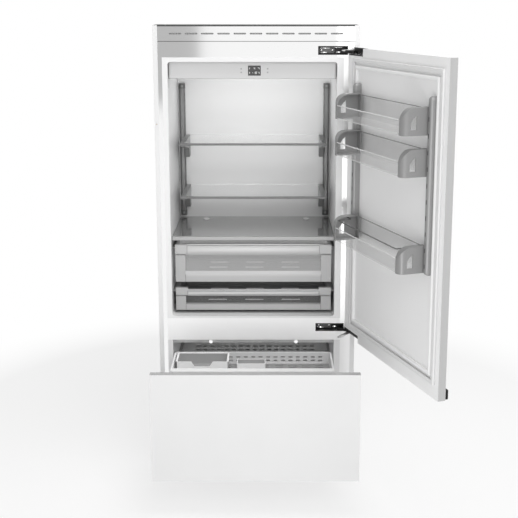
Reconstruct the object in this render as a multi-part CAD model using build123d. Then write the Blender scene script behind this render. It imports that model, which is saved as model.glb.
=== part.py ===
"""Built-in refrigerator: a fridge above a freezer drawer, door and drawer standing open.

Millimetres. +X is to the viewer's right, +Y goes into the cabinet, +Z is up. The origin is on the floor,
at the centre of the cabinet's footprint. Depths are measured from the cabinet's front plane, positive going
in. The door and the drawer are drawn closed and then carried to their open places.
"""

import os

from build123d import *

# Cabinet
WIDTH = 900.0
HEIGHT = 2030.0
DEPTH = 600.0
SHEET = 1.2
BASE_HEIGHT = 30.0
BASE_SHEET = 2.0
SIDE_EDGE = 21.0
TOP_STEP_DEPTH = 170.0
TOP_STEP_DROP = 45.0
TOP_STEP_RUN = 20.0
FRAME_RETURN = 15.0
STILE_LEFT = 18.0
STILE_RIGHT = 46.0
GRILLE_HEIGHT = 70.0
FASCIA_HEIGHT = 68.0
GRILLE_BOTTOM = HEIGHT - GRILLE_HEIGHT
FASCIA_BOTTOM = GRILLE_BOTTOM - FASCIA_HEIGHT
SLOT_COUNT = 11
SLOT_LENGTH = 54.0
SLOT_HEIGHT = 7.0
SLOT_PITCH = 70.3
SLOT_DROP = 36.0
SEAM = 2.0
TOP_LIP = 5.0

# Fixing holes in the pale side edges
FIXING_COUNT = 2
FIXING_SPACING = 1200.0
FIXING_HOLE_RADIUS = 2.5
FIXING_FIRST = 400.0

# Cavities
LINER = 2.5
WALL_LEFT = 62.0
WALL_RIGHT = 95.0
WALL_BACK = 90.0
CAVITY_LEFT = WALL_LEFT - WIDTH / 2
CAVITY_RIGHT = WIDTH / 2 - WALL_RIGHT
CAVITY_DEPTH = DEPTH - WALL_BACK
CAVITY_HALF = (CAVITY_RIGHT - CAVITY_LEFT) / 2
CENTRE = (CAVITY_LEFT + CAVITY_RIGHT) / 2
CAVITY_RADIUS = 15.0
BAY_FLOOR = 150.0
BAY_CEILING = 335.0
BAY_LENGTH = 205.0
BAY_WALL = 43.0
BAY_ROOF = 17.0
BAY_DEPTH = DEPTH - BAY_LENGTH
HUMP_HEIGHT = BAY_CEILING + BAY_ROOF
HUMP_DEPTH = BAY_DEPTH - BAY_WALL
HUMP_SLOPE = 20.0
FREEZER_BASE = 40.0
FREEZER_HEIGHT = 412.0
MULLION_HEIGHT = 113.0
CEILING_DROP = 19.0
FREEZER_FLOOR = BAY_FLOOR + FREEZER_BASE
FREEZER_CEILING = FREEZER_FLOOR + FREEZER_HEIGHT
FRIDGE_FLOOR = FREEZER_CEILING + MULLION_HEIGHT
FRIDGE_CEILING = FASCIA_BOTTOM - CEILING_DROP
MULLION_DROP = 9.0
LIGHT_BAR_DROP = 25.0
LIGHT_BAR_DEPTH = 24.0
LIGHT_BAR_SETBACK = 10.0
FREEZER_LIGHT_SPACING = 394.0
FREEZER_LIGHT_RADIUS = 9.0

# Base
PLINTH_SETBACK = 50.0
PLINTH_CLEARANCE = 12.0
PLINTH_RETURN = 10.0
TRAY_EDGE = 40.0
FOOT_RADIUS = 25.0
FOOT_INSET = 70.0
STUD_RADIUS = 6.0
FOOT_RIM = 5.0
FOOT_PAD = 11.0
FOOT_TAPER = 8.0
FOOT_NUT = 6.0
FOOT_NUT_RADIUS = 11.0
VENT_ROWS = (0.3, 0.5, 0.7)
PLINTH_ROWS = (0.4, 0.6)

# Machinery
COMPRESSOR_RADIUS = 72.0
COMPRESSOR_HEIGHT = 150.0
COMPRESSOR_X = 250.0
COMPRESSOR_ROUND = 30.0
COMPRESSOR_PLATE = 4.0
COMPRESSOR_MARGIN = 16.0
TERMINAL_BOX = (40.0, 60.0, 70.0)
GROMMET_RADIUS = 11.0
GROMMET_HEIGHT = 22.0
GROMMET_INSET = 14.0
MACHINE_FROM_BACK = 105.0
MACHINE_Y = DEPTH - MACHINE_FROM_BACK
FIN_COUNT = 24
FIN_THICKNESS = 0.8
CONDENSER_LENGTH = 250.0
CONDENSER_X = -270.0
CONDENSER_WIDTH = 130.0
CONDENSER_HEIGHT = 170.0
CONDENSER_TUBE_RADIUS = 4.0
FAN_RADIUS = 66.0
FAN_HUB_RADIUS = 18.0
FAN_HUB_LENGTH = 24.0
FAN_BLADES = 5
FAN_PITCH = 32.0
FAN_SHAFT_RADIUS = 3.0
FAN_X = -60.0
SHROUD_SIDE = 170.0
SHROUD_CLEARANCE = 6.0
RUNNING_CLEARANCE = 0.05
EVAPORATOR_LENGTH = 520.0
EVAPORATOR_DEPTH = 46.0
EVAPORATOR_HEIGHT = 98.0
EVAPORATOR_SPACE = 80.0
EVAPORATOR_COVER_DEPTH = CAVITY_DEPTH - EVAPORATOR_SPACE
EVAPORATOR_COVER_SLOTS = 17
EVAPORATOR_SLOT_PITCH = 36.0
EVAPORATOR_SLOT_LENGTH = 24.0
EVAPORATOR_SLOT_HEIGHT = 6.0
EVAPORATOR_SLOT_LEVELS = (50.0, 70.0)
EVAPORATOR_GAP = 14.0
MOTOR_RADIUS = 26.0
MOTOR_LENGTH = 40.0
MOTOR_ROUND = 2.0
SPOKE_WIDTH = 12.0
SPOKE_THICKNESS = 3.0
BLADE_THICKNESS = 1.6
BLADE_ROOT = 4.0
FAN_GAP = 1.0
SMALL_FAN_DROP = 15.0
SMALL_HUB_RADIUS = 12.0
SMALL_HUB_LENGTH = 16.0
SMALL_MOTOR_RADIUS = 18.0
SMALL_MOTOR_LENGTH = 30.0
CUT = 8.0
SMALL_FAN_RADIUS = 42.0

# Control fascia and lamps
CONTROL_SETBACK = 32.0
CONTROL_HEIGHT = 74.0
CONTROL_DEPTH = 118.0
CONTROL_SIDE_GAP = 2.0
CONTROL_ROUND = 10.0
CONTROL_CHIN_DEPTH = 28.0
CONTROL_CHIN_DROP = 4.0
CONTROL_TAIL_RISE = 34.0
DISPLAY_WIDTH = 56.0
DISPLAY_HEIGHT = 44.0
DISPLAY_THICKNESS = 3.0
DISPLAY_GAP = 0.2
DISPLAY_X = -8.0
DISPLAY_DROP = 40.0
LAMP_LENGTH = 500.0
LAMP_WIDTH = 60.0
LAMP_THICKNESS = 12.0
LAMP_GAP = 15.0
LAMP_ROUND = 20.0

# Shelves
RAIL_WIDTH = 28.0
RAIL_DEPTH = 20.0
RAIL_SIDE = 19.5
RAIL_OFFSET = CAVITY_HALF - RAIL_SIDE
COVER_RISE = 363.0
COVER_TOP = FRIDGE_FLOOR + COVER_RISE
RAIL_RISE = 12.0
RAIL_DROP = 134.0
RAIL_BOTTOM = COVER_TOP + RAIL_RISE
RAIL_TOP = FRIDGE_CEILING - RAIL_DROP
SHELF_SHARES = (0.5233, 0.2113)
SHELF_LEVELS = [COVER_TOP + share * (FRIDGE_CEILING - COVER_TOP) for share in SHELF_SHARES]
SHELF_SIDE = 36.0
SHELF_HALF_WIDTH = CAVITY_HALF - SHELF_SIDE
SHELF_FRONT = 138.0
SHELF_BACK_GAP = 2.0
SHELF_BACK = CAVITY_DEPTH - RAIL_DEPTH - SHELF_BACK_GAP
GLASS = 5.0
TRIM_DEPTH = 16.0
TRIM_HEIGHT = 9.0
TRIM_LIP = 4.0
TRIM_RISE = 1.5
TRIM_ROUND = 3.0
BRACKET_WIDTH = 22.0
BRACKET_HEIGHT = 102.0
BRACKET_NOSE = 14.0
BRACKET_FRONT = 186.0
BRACKET_BACK_GAP = 4.0
BRACKET_REACH = CAVITY_DEPTH - BRACKET_BACK_GAP - BRACKET_FRONT
BRACKET_KNEE = 0.55

# Crispers
COVER_FRONT = 48.0
COVER_SIDE_GAP = 3.0
COVER_TRIM_HEIGHT = 18.0
COVER_TRIM_RISE = 2.0
COVER_TRIM_ROUND = 3.0
COVER_BACK_GAP = 5.0
CRISPER_FRONT = 50.0
CRISPER_SIDE = 13.5
CRISPER_HALF_WIDTH = CAVITY_HALF - CRISPER_SIDE
CRISPER_SPACE = 95.0
CRISPER_BIN_DEPTH = CAVITY_DEPTH - CRISPER_SPACE
CRISPER_WALL = 3.0
CRISPER_WING = 12.0
CRISPER_WING_THICKNESS = 4.0
CRISPER_BIN_DROP = 12.0
CRISPER_RADIUS = 30.0
CRISPER_FRAME = 10.0
CRISPER_POST = 46.0
CRISPER_UPPER_FOOT = 151.0
CRISPER_UPPER_HEIGHT = 180.0
CRISPER_LOWER_FOOT = 16.0
CRISPER_LOWER_HEIGHT = 110.0
UPPER_BOTTOM = FRIDGE_FLOOR + CRISPER_UPPER_FOOT
LOWER_BOTTOM = FRIDGE_FLOOR + CRISPER_LOWER_FOOT
CRISPER_UPPER = (UPPER_BOTTOM, UPPER_BOTTOM + CRISPER_UPPER_HEIGHT)
CRISPER_LOWER = (LOWER_BOTTOM, LOWER_BOTTOM + CRISPER_LOWER_HEIGHT)
CRISPER_UPPER_HANDLE = 51.0
CRISPER_LOWER_HANDLE = 41.0
CRISPER_UPPER_BAR = (36.0, 50.0)
CRISPER_LOWER_BAR = (27.0, 32.0)
CRISPER_BAR_EDGE = 2.0
CRISPER_CAP = 56.0
CRISPER_UPPER_GRIP_DROP = 0.0
CRISPER_LOWER_GRIP_DROP = 11.0
HANDLE_DEPTH = 18.0
HANDLE_WALL = 3.0
HANDLE_LIP = 6.0
HANDLE_GROOVE = 2.5
HANDLE_BULGE = 2.0
HANDLE_CAP_DROP = 2.0
HANDLE_CAP_ROUND = 6.0
RUNNER_HEIGHT = 9.0
RUNNER_GAP = 0.3
RUNNER_SIDE_GAP = 1.5
RUNNER_FRONT_GAP = 4.0
RUNNER_BACK_GAP = 20.0

# Door, drawn closed
PANEL_MARGIN = 15.0
PANEL_WIDTH = WIDTH - 2 * PANEL_MARGIN
PANEL_DEPTH = 33.0
GASKET_DEPTH = 12.0
GASKET_GAP = 0.5
GASKET_OUTSET = 22.0
GASKET_INSET = 5.0
DOOR_BELOW = 80.0
DOOR_ABOVE = 44.0
DOOR_BOTTOM = FRIDGE_FLOOR - DOOR_BELOW
DOOR_TOP = FASCIA_BOTTOM + DOOR_ABOVE
DYKE_HEIGHT = 12.0
DYKE_WIDTH = 16.0
DYKE_CLEARANCE = 8.0
DYKE_ROUND = 6.0
DOOR_RAIL_SIDE = 38.5
DOOR_RAIL_OFFSET = CAVITY_HALF - DOOR_RAIL_SIDE
DOOR_RAIL_DEPTH = 18.0
DOOR_RAIL_END = 15.0
DOOR_RAIL_RISE = 37.0
DOOR_RAIL_DROP = 81.0
DOOR_RAIL_BOTTOM = COVER_TOP + DOOR_RAIL_RISE
DOOR_RAIL_TOP = FRIDGE_CEILING - DOOR_RAIL_DROP
BIN_SHARES = (0.7858, 0.5569, 0.0103)
BIN_LEVELS = [DOOR_RAIL_BOTTOM + share * (DOOR_RAIL_TOP - DOOR_RAIL_BOTTOM) for share in BIN_SHARES]
BIN_HEIGHT = 104.0
BIN_DEPTH = 116.0
BIN_FRONT_HEIGHT = 58.0
BIN_WALL = 3.0
BIN_CAP = 34.0
BIN_CAP_ROUND = 24.0
BIN_CAP_WALL = 4.0
BIN_BACK_GAP = 2.0
BIN_ARC_RUN = 56.0
BIN_ARC_MIDDLE = (17.0, 33.0)
BIN_WINDOW = ((56.0, 22.0), (32.0, 22.0), (32.0, 50.0), (42.0, 64.0), (56.0, 76.0))
BIN_INSET = 2.0
BIN_BACK_DROP = 6.0
BIN_FLOOR = 3.0
WIRE_RADIUS = 2.5
WIRE_DROP = 12.0
WIRE_REACH = (70.0, 6.0)
WIRE_STEP = 40.0
WIRE_BEND = 6.0
BUMPER_SIZE = (26.0, 8.0, 38.0)
BUMPER_INSET = (4.0, 3.0)
BUMPER_ROUND = 3.0
DOOR_OPEN = 110.0

# Hinges
PIVOT_INSET = 15.0
PIVOT_X = PANEL_WIDTH / 2 - PIVOT_INSET
PIVOT_DEPTH = -23.0
PIN_RADIUS = 4.0
PIN_LENGTH = 28.0
NOTCH_HEIGHT = 33.0
NOTCH_LENGTH = 140.0
NOTCH_SKIN = 7.0
CUP_PLATE = 5.0
ARM_THICKNESS = 12.0
ARM_RADIUS = 10.0
ARM_LIFT = 7.0
LINK_THICKNESS = 4.0
LINK_LENGTH = 78.0
LINK_RADIUS = 9.0
LINK_LIFT = 21.0
HINGE_BOX_LENGTH = 130.0
HINGE_BOX_OFFSET = 20.0
HINGE_BOX_RIGHT = PIVOT_X - HINGE_BOX_OFFSET
HINGE_BOX_HEIGHT = 38.0
HINGE_BOX_RISE = 14.0
HINGE_BOX_DEPTH = 40.0
HINGE_BOX_WALL = 2.0

# Freezer drawer, drawn closed
DRAWER_BELOW = 31.0
DRAWER_SEAM = 4.0
DRAWER_BOTTOM = FREEZER_FLOOR - DRAWER_BELOW
DRAWER_TOP = DOOR_BOTTOM - DRAWER_SEAM
DRAWER_OUT = 490.0
SLIDE_DROP = 202.0
SLIDE_BOTTOM = FREEZER_CEILING - SLIDE_DROP
SLIDE_HEIGHT = 45.0
SLIDE_WIDTH = 14.0
SLIDE_SHEET = 1.5
SLIDE_PLAY = 0.6
SLIDE_START = 8.0
SLIDE_BACK_GAP = 10.0
SLIDE_LENGTH = EVAPORATOR_COVER_DEPTH - SLIDE_START - SLIDE_BACK_GAP
SLIDE_MIDDLE_SET_IN = 1.0
ARM_PLATE = 3.0
ARM_BELOW = 20.0
ARM_BOTTOM = SLIDE_BOTTOM - ARM_BELOW
ARM_GAP = 2.0
ARM_LEDGE = 12.0
SEAT_PLAY = 1.0
TRAY_DROP = 37.0
TRAY_HEIGHT = 58.0
TRAY_RIM = FREEZER_CEILING - TRAY_DROP
TRAY_FLOOR = TRAY_RIM - TRAY_HEIGHT
TRAY_WALL = 3.0
TRAY_START = 165.0
TRAY_LEDGE = 40.0
TRAY_BACK_GAP = 10.0
TRAY_LENGTH = EVAPORATOR_COVER_DEPTH - TRAY_START - TRAY_BACK_GAP
TRAY_RADIUS = 12.0
TRAY_WING_INSET = 20.0
TRAY_SLOTS = 11
TRAY_SLOT_SIZE = (40.0, 7.0)
TRAY_SLOT_PITCH = 60.0
TRAY_SLOT_ROWS = (20.0, 45.0, 70.0, 95.0)
BACK_SLOTS = 19
BACK_SLOT_SIZE = (20.0, 8.0)
BACK_SLOT_PITCH = 34.0
BACK_SLOT_ROWS = (20.0, 37.0)
BASKET_LIFT = 25.0
BASKET_DROP = 132.0
BASKET_SPACE = 22.0
BASKET_BOTTOM = FREEZER_FLOOR + BASKET_LIFT
BASKET_TOP = FREEZER_CEILING - BASKET_DROP
BASKET_DEPTH = HUMP_DEPTH - BASKET_SPACE
BASKET_WALL = 3.0
BASKET_GAP = 2.0
BASKET_RADIUS = 30.0
ICE_BIN_SIZE = (230.0, 115.0, 56.0)
ICE_BIN_LEFT = 12.0
ICE_BIN_BACK = 10.0
ICE_BIN_RADIUS = 8.0
ICE_DIP = ((58.0, 70.0), (80.0, 33.0), (148.0, 33.0), (170.0, 70.0))
ICE_DIP_CUT = 10.0
BOX_WALL = 2.5
SMALL_BOX_OFFSET = (40.0, 20.0)
SMALL_BOX_RADIUS = 6.0
SMALL_BOX_SIZE = (126.0, 60.0, 54.0)

# Places worked out from the sizes above
FRONT = -DEPTH / 2
HALF = WIDTH / 2
INNER = HALF - SHEET
FRAME_LEFT = -HALF + SIDE_EDGE
FRAME_RIGHT = HALF - SIDE_EDGE
MOUTH_LEFT = FRAME_LEFT + STILE_LEFT
MOUTH_RIGHT = FRAME_RIGHT - STILE_RIGHT
MULLION_TOP = FRIDGE_FLOOR - MULLION_DROP
FOAM_FRONT = FRAME_RETURN + 1.0
DOOR_INNER = -GASKET_DEPTH
DOOR_OUTER = DOOR_INNER - PANEL_DEPTH
PIVOT = (PIVOT_X, FRONT + PIVOT_DEPTH, 0)

NODES = {}


def depth(value):
    """The Y of a depth behind the cabinet's front plane."""
    return FRONT + value


def slab(x, d, z):
    """A flat-sided piece from its X range, depth range and Z range."""
    size = Box(x[1] - x[0], d[1] - d[0], z[1] - z[0])
    return Pos((x[0] + x[1]) / 2, depth((d[0] + d[1]) / 2), (z[0] + z[1]) / 2) * size


def along_x(points, x0, x1):
    """A profile of (depth, z) points, run from x0 to x1."""
    face = make_face(Polyline(*[(depth(d), z) for d, z in points], close=True))
    return Pos(x0, 0, 0) * extrude(Plane.YZ * face, amount=x1 - x0)


def along_z(points, z0, z1):
    """A profile of (x, depth) points, run from z0 to z1."""
    face = make_face(Polyline(*[(x, depth(d)) for x, d in points], close=True))
    return Pos(0, 0, z0) * extrude(face, amount=z1 - z0)


def along_y(points, d0, d1):
    """A profile of (x, z) points, run from depth d0 to depth d1."""
    face = make_face(Polyline(*points, close=True))
    return Pos(0, depth(d1), 0) * extrude(Plane.XZ * face, amount=d1 - d0)


def ring(x, d, z, width):
    """A picture frame of the given outer ranges."""
    inside = slab((x[0] + width, x[1] - width), (d[0] - 1, d[1] + 1), (z[0] + width, z[1] - width))
    return slab(x, d, z) - inside


def rounded_y(x, d, z, radius):
    """A slab whose four edges along Y are rounded."""
    piece = slab(x, d, z)
    return fillet(piece.edges().filter_by(Axis.Y), radius)


def mirrored(piece, centre=CENTRE):
    """The same piece on the other side of a vertical plane."""
    return mirror(piece, Plane.YZ.offset(centre))


def pair(piece, centre=CENTRE):
    """A piece and its mirror image, as two solids."""
    return [piece, mirrored(piece, centre)]


def tub(x, d, z, wall, radius):
    """An open-topped tray with rounded upright and floor edges."""
    outer = slab(x, d, z)
    outer = fillet(outer.edges().filter_by(Axis.Z) + outer.edges().group_by(Axis.Z)[0], radius)
    hollow = slab((x[0] + wall, x[1] - wall), (d[0] + wall, d[1] - wall), (z[0] + wall, z[1] + radius))
    hollow = fillet(hollow.edges().filter_by(Axis.Z) + hollow.edges().group_by(Axis.Z)[0], radius - wall)
    return outer - hollow


def node(name, *pieces):
    """Keep a node's separate solids under its name."""
    solids = [s for piece in pieces for s in piece.solids()]
    NODES[name] = Compound(children=solids) if len(solids) > 1 else solids[0]


def opened(piece):
    """Carry a door piece from closed to its open place."""
    return Pos(*PIVOT) * Rot(0, 0, DOOR_OPEN) * Pos(-PIVOT[0], -PIVOT[1], 0) * piece


def link_turned(piece):
    """Carry a hinge link, which turns half as far as the door."""
    return Pos(*PIVOT) * Rot(0, 0, DOOR_OPEN / 2) * Pos(-PIVOT[0], -PIVOT[1], 0) * piece


def pulled(piece, share=1.0):
    """Carry a drawer piece out of the cabinet."""
    return Pos(0, -DRAWER_OUT * share, 0) * piece


# Cabinet panels
def side_panel(sign):
    outer = sign * HALF
    edge = sign * (HALF - SIDE_EDGE)
    inside = sign * INNER
    piece = along_z(
        [(outer, 0), (edge, 0), (edge, SHEET), (inside, SHEET), (inside, DEPTH), (outer, DEPTH)],
        BASE_HEIGHT,
        HEIGHT,
    )
    step = along_x(
        [
            (TOP_STEP_DEPTH, HEIGHT + 1),
            (TOP_STEP_DEPTH, HEIGHT),
            (TOP_STEP_DEPTH + TOP_STEP_RUN, HEIGHT - TOP_STEP_DROP),
            (DEPTH + 1, HEIGHT - TOP_STEP_DROP),
            (DEPTH + 1, HEIGHT + 1),
        ],
        -HALF - 1,
        HALF + 1,
    )
    piece -= step
    hole_x = sign * (HALF - SIDE_EDGE / 2)
    for index in range(FIXING_COUNT):
        z = FIXING_FIRST + index * FIXING_SPACING
        piece -= Pos(hole_x, FRONT, z) * Rot(90, 0, 0) * Cylinder(FIXING_HOLE_RADIUS, 4 * SHEET)
    return piece


node("side_panels", side_panel(-1), side_panel(1))

step_low = HEIGHT - TOP_STEP_DROP
top_panel = along_x(
    [
        (SHEET, HEIGHT),
        (TOP_STEP_DEPTH, HEIGHT),
        (TOP_STEP_DEPTH + TOP_STEP_RUN, step_low),
        (DEPTH - SHEET, step_low),
        (DEPTH - SHEET, step_low - SHEET),
        (TOP_STEP_DEPTH + TOP_STEP_RUN - SHEET, step_low - SHEET),
        (TOP_STEP_DEPTH - SHEET, HEIGHT - SHEET),
        (SHEET, HEIGHT - SHEET),
    ],
    -INNER,
    INNER,
)
top_lip = slab((FRAME_LEFT, FRAME_RIGHT), (0, SHEET), (HEIGHT - TOP_LIP, HEIGHT))
node("top_panel", top_panel + top_lip)


def front_channel(x0, x1, z0, z1):
    """A front plate with its top and bottom edges folded back."""
    return along_x(
        [
            (0, z0),
            (0, z1),
            (FRAME_RETURN, z1),
            (FRAME_RETURN, z1 - SHEET),
            (SHEET, z1 - SHEET),
            (SHEET, z0 + SHEET),
            (FRAME_RETURN, z0 + SHEET),
            (FRAME_RETURN, z0),
        ],
        x0,
        x1,
    )


def front_upright(x0, x1, z0, z1):
    """A front plate with its two long edges folded back."""
    return along_z(
        [
            (x0, 0),
            (x1, 0),
            (x1, FRAME_RETURN),
            (x1 - SHEET, FRAME_RETURN),
            (x1 - SHEET, SHEET),
            (x0 + SHEET, SHEET),
            (x0 + SHEET, FRAME_RETURN),
            (x0, FRAME_RETURN),
        ],
        z0,
        z1,
    )


grille = front_channel(FRAME_LEFT, FRAME_RIGHT, GRILLE_BOTTOM + SEAM, HEIGHT - TOP_LIP)
slot = extrude(SlotOverall(SLOT_LENGTH, SLOT_HEIGHT), amount=4 * SHEET, both=True)
for index in range(SLOT_COUNT):
    slot_x = (index - (SLOT_COUNT - 1) / 2) * SLOT_PITCH
    grille -= Pos(slot_x, FRONT, HEIGHT - SLOT_DROP) * Rot(90, 0, 0) * slot
node("top_grille", grille)


# Hinges: each has a box in the cabinet, a fixed arm, a link, a pin and a cup in the door's notch
def hinge_levels():
    """For the top and bottom hinge: the notch's seat, and which way the hinge stands from it."""
    return ((DOOR_TOP - NOTCH_HEIGHT, 1), (DOOR_BOTTOM + NOTCH_HEIGHT, -1))


def span(seat, sign, low, high):
    """A Z range measured from a hinge's seat."""
    return tuple(sorted((seat + sign * low, seat + sign * high)))


def hinge_box_range(seat, sign):
    """The top box stands on its notch's seat, and the bottom box reaches a little above its own."""
    start = 0.0 if sign > 0 else -HINGE_BOX_RISE
    return span(seat, sign, start, start + HINGE_BOX_HEIGHT)


HINGE_BOX_X = (HINGE_BOX_RIGHT - HINGE_BOX_LENGTH, HINGE_BOX_RIGHT)


def hinge_box_outer(seat, sign):
    return slab(HINGE_BOX_X, (0, HINGE_BOX_DEPTH), hinge_box_range(seat, sign))


def hinge_arm(seat, sign):
    """The fixed arm: from the box's floor forward to the pin's eye."""
    z = span(seat, sign, ARM_LIFT, ARM_LIFT + ARM_THICKNESS)
    back = HINGE_BOX_DEPTH - HINGE_BOX_WALL
    root = HINGE_BOX_RIGHT - HINGE_BOX_WALL
    body = along_z(
        [
            (root - 3 * ARM_RADIUS, back),
            (root, back),
            (root, 0),
            (PIVOT_X + ARM_RADIUS, PIVOT_DEPTH),
            (PIVOT_X - ARM_RADIUS, PIVOT_DEPTH),
            (root - 3 * ARM_RADIUS, 0),
        ],
        *z,
    )
    middle = Pos(PIVOT_X, depth(PIVOT_DEPTH), sum(z) / 2)
    eye = middle * Cylinder(ARM_RADIUS, ARM_THICKNESS)
    bore = middle * Cylinder(PIN_RADIUS + RUNNING_CLEARANCE, 2 * ARM_THICKNESS)
    return body + eye - bore


def hinge_box(seat, sign):
    z = hinge_box_range(seat, sign)
    wall = HINGE_BOX_WALL
    inside = slab(
        (HINGE_BOX_X[0] + wall, HINGE_BOX_X[1] - wall),
        (-1, HINGE_BOX_DEPTH - wall),
        (z[0] + wall, z[1] - wall),
    )
    return hinge_box_outer(seat, sign) - inside + hinge_arm(seat, sign)


def hinge_link(seat, sign):
    """A flat link on the pin, with a rounded end and a second eye."""
    z = span(seat, sign, LINK_LIFT, LINK_LIFT + LINK_THICKNESS)
    bar = slab((PIVOT_X - LINK_LENGTH, PIVOT_X), (PIVOT_DEPTH - LINK_RADIUS, PIVOT_DEPTH + LINK_RADIUS), z)
    eye = Cylinder(LINK_RADIUS, LINK_THICKNESS)
    bore = Cylinder(PIN_RADIUS + RUNNING_CLEARANCE, 2 * LINK_THICKNESS)
    places = [Pos(x, depth(PIVOT_DEPTH), sum(z) / 2) for x in (PIVOT_X, PIVOT_X - LINK_LENGTH)]
    for place in places:
        bar += place * eye
    for place in places:
        bar -= place * bore
    return bar


def hinge_pin(seat, sign):
    z = span(seat, sign, 0, PIN_LENGTH)
    return Pos(PIVOT_X, depth(PIVOT_DEPTH), sum(z) / 2) * Cylinder(PIN_RADIUS, PIN_LENGTH)


def notch(seat, sign):
    """The space in the door's corner that a hinge needs."""
    x = (PANEL_WIDTH / 2 - NOTCH_LENGTH, PANEL_WIDTH / 2 + 1)
    return slab(x, (DOOR_OUTER + NOTCH_SKIN, DOOR_INNER + DYKE_HEIGHT), span(seat, sign, 0, NOTCH_HEIGHT + 1))


def hinge_cup(seat, sign):
    """An angle plate in the notch, with the pin pressed into it."""
    x = (PANEL_WIDTH / 2 - NOTCH_LENGTH, PANEL_WIDTH / 2)
    front = DOOR_OUTER + NOTCH_SKIN
    plate = slab(x, (front, DOOR_INNER), span(seat, sign, 0, CUP_PLATE))
    wall = slab(x, (front, front + HINGE_BOX_WALL), span(seat, sign, 0, NOTCH_HEIGHT))
    return plate + wall - hinge_pin(seat, sign)


node("hinge_boxes", *[hinge_box(*level) for level in hinge_levels()])
node("hinge_links", *[link_turned(hinge_link(*level)) for level in hinge_levels()])
node("hinge_pins", *[opened(hinge_pin(*level)) for level in hinge_levels()])
node("hinge_cups", *[opened(hinge_cup(*level)) for level in hinge_levels()])

# Steel front frame: the plain upper fascia and the two stiles
frame_pieces = [
    front_channel(FRAME_LEFT, FRAME_RIGHT, FASCIA_BOTTOM, GRILLE_BOTTOM),
    front_upright(FRAME_LEFT, MOUTH_LEFT, BAY_FLOOR + SHEET, FASCIA_BOTTOM),
    front_upright(MOUTH_RIGHT, FRAME_RIGHT, BAY_FLOOR + SHEET, FASCIA_BOTTOM),
]
for level in hinge_levels():
    frame_pieces = [piece - hinge_box_outer(*level) for piece in frame_pieces]
node("front_frame", *frame_pieces)

mullion = along_x(
    [
        (0, FREEZER_CEILING),
        (0, MULLION_TOP),
        (FRAME_RETURN, MULLION_TOP),
        (FRAME_RETURN, MULLION_TOP - LINER),
        (LINER, MULLION_TOP - LINER),
        (LINER, FREEZER_CEILING + LINER),
        (FRAME_RETURN, FREEZER_CEILING + LINER),
        (FRAME_RETURN, FREEZER_CEILING),
    ],
    MOUTH_LEFT,
    MOUTH_RIGHT,
)
for level in hinge_levels():
    mullion -= hinge_box_outer(*level)
node("mullion", mullion)

# Liners and insulation
CAVITY_X = (CAVITY_LEFT, CAVITY_RIGHT)
LIP_X = (MOUTH_LEFT, MOUTH_RIGHT)
fridge_cavity = rounded_y(CAVITY_X, (-1, CAVITY_DEPTH), (FRIDGE_FLOOR, FRIDGE_CEILING), CAVITY_RADIUS)
fridge_outside = rounded_y(
    (CAVITY_LEFT - LINER, CAVITY_RIGHT + LINER),
    (0, CAVITY_DEPTH + LINER),
    (FRIDGE_FLOOR - LINER, FRIDGE_CEILING + LINER),
    CAVITY_RADIUS + LINER,
)
fridge_lip = slab(LIP_X, (0, LINER), (MULLION_TOP, FASCIA_BOTTOM))
node("fridge_liner", fridge_outside + fridge_lip - fridge_cavity)


def freezer_shape(grow, front):
    return along_x(
        [
            (front, FREEZER_FLOOR - grow),
            (HUMP_DEPTH + grow, FREEZER_FLOOR - grow),
            (HUMP_DEPTH + HUMP_SLOPE + grow, HUMP_HEIGHT - grow),
            (CAVITY_DEPTH + grow, HUMP_HEIGHT - grow),
            (CAVITY_DEPTH + grow, FREEZER_CEILING),
            (front, FREEZER_CEILING),
        ],
        CAVITY_LEFT - grow,
        CAVITY_RIGHT + grow,
    )


freezer_top = slab(
    (CAVITY_LEFT - LINER, CAVITY_RIGHT + LINER),
    (FRAME_RETURN, CAVITY_DEPTH + LINER),
    (FREEZER_CEILING, FREEZER_CEILING + LINER),
)
light_bar = along_x(
    [
        (LIGHT_BAR_SETBACK, FREEZER_CEILING),
        (LIGHT_BAR_SETBACK + LIGHT_BAR_DEPTH, FREEZER_CEILING - LIGHT_BAR_DROP),
        (LIGHT_BAR_SETBACK + LIGHT_BAR_DEPTH + LINER, FREEZER_CEILING - LIGHT_BAR_DROP),
        (LIGHT_BAR_SETBACK + LIGHT_BAR_DEPTH + LINER, FREEZER_CEILING),
    ],
    *CAVITY_X,
)
freezer_lip = slab(LIP_X, (0, LINER), (BAY_FLOOR + SHEET, FREEZER_CEILING))
light_middle = FREEZER_CEILING - LIGHT_BAR_DROP / 2
lenses = []
for side in (-1, 1):
    lens_x = CENTRE + side * FREEZER_LIGHT_SPACING / 2
    lens = Pos(lens_x, depth(LIGHT_BAR_SETBACK + LIGHT_BAR_DEPTH / 2), light_middle) * Rot(90, 0, 0)
    lenses.append(lens * Cylinder(FREEZER_LIGHT_RADIUS, LIGHT_BAR_DEPTH))
freezer_liner = freezer_shape(LINER, 0) + freezer_lip - freezer_shape(0, -1) + freezer_top + light_bar
for lens in lenses:
    freezer_liner -= lens
node("freezer_liner", freezer_liner)

foam = slab((-INNER, INNER), (FOAM_FRONT, DEPTH - SHEET), (BAY_FLOOR + SHEET, FASCIA_BOTTOM))
foam -= slab((-HALF, HALF), (BAY_DEPTH - SHEET, DEPTH), (0, BAY_CEILING + SHEET))
foam -= fridge_outside
foam -= freezer_shape(LINER, 0)
foam -= freezer_top
for level in hinge_levels():
    foam -= hinge_box_outer(*level)
node("insulation_foam", foam)

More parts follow.
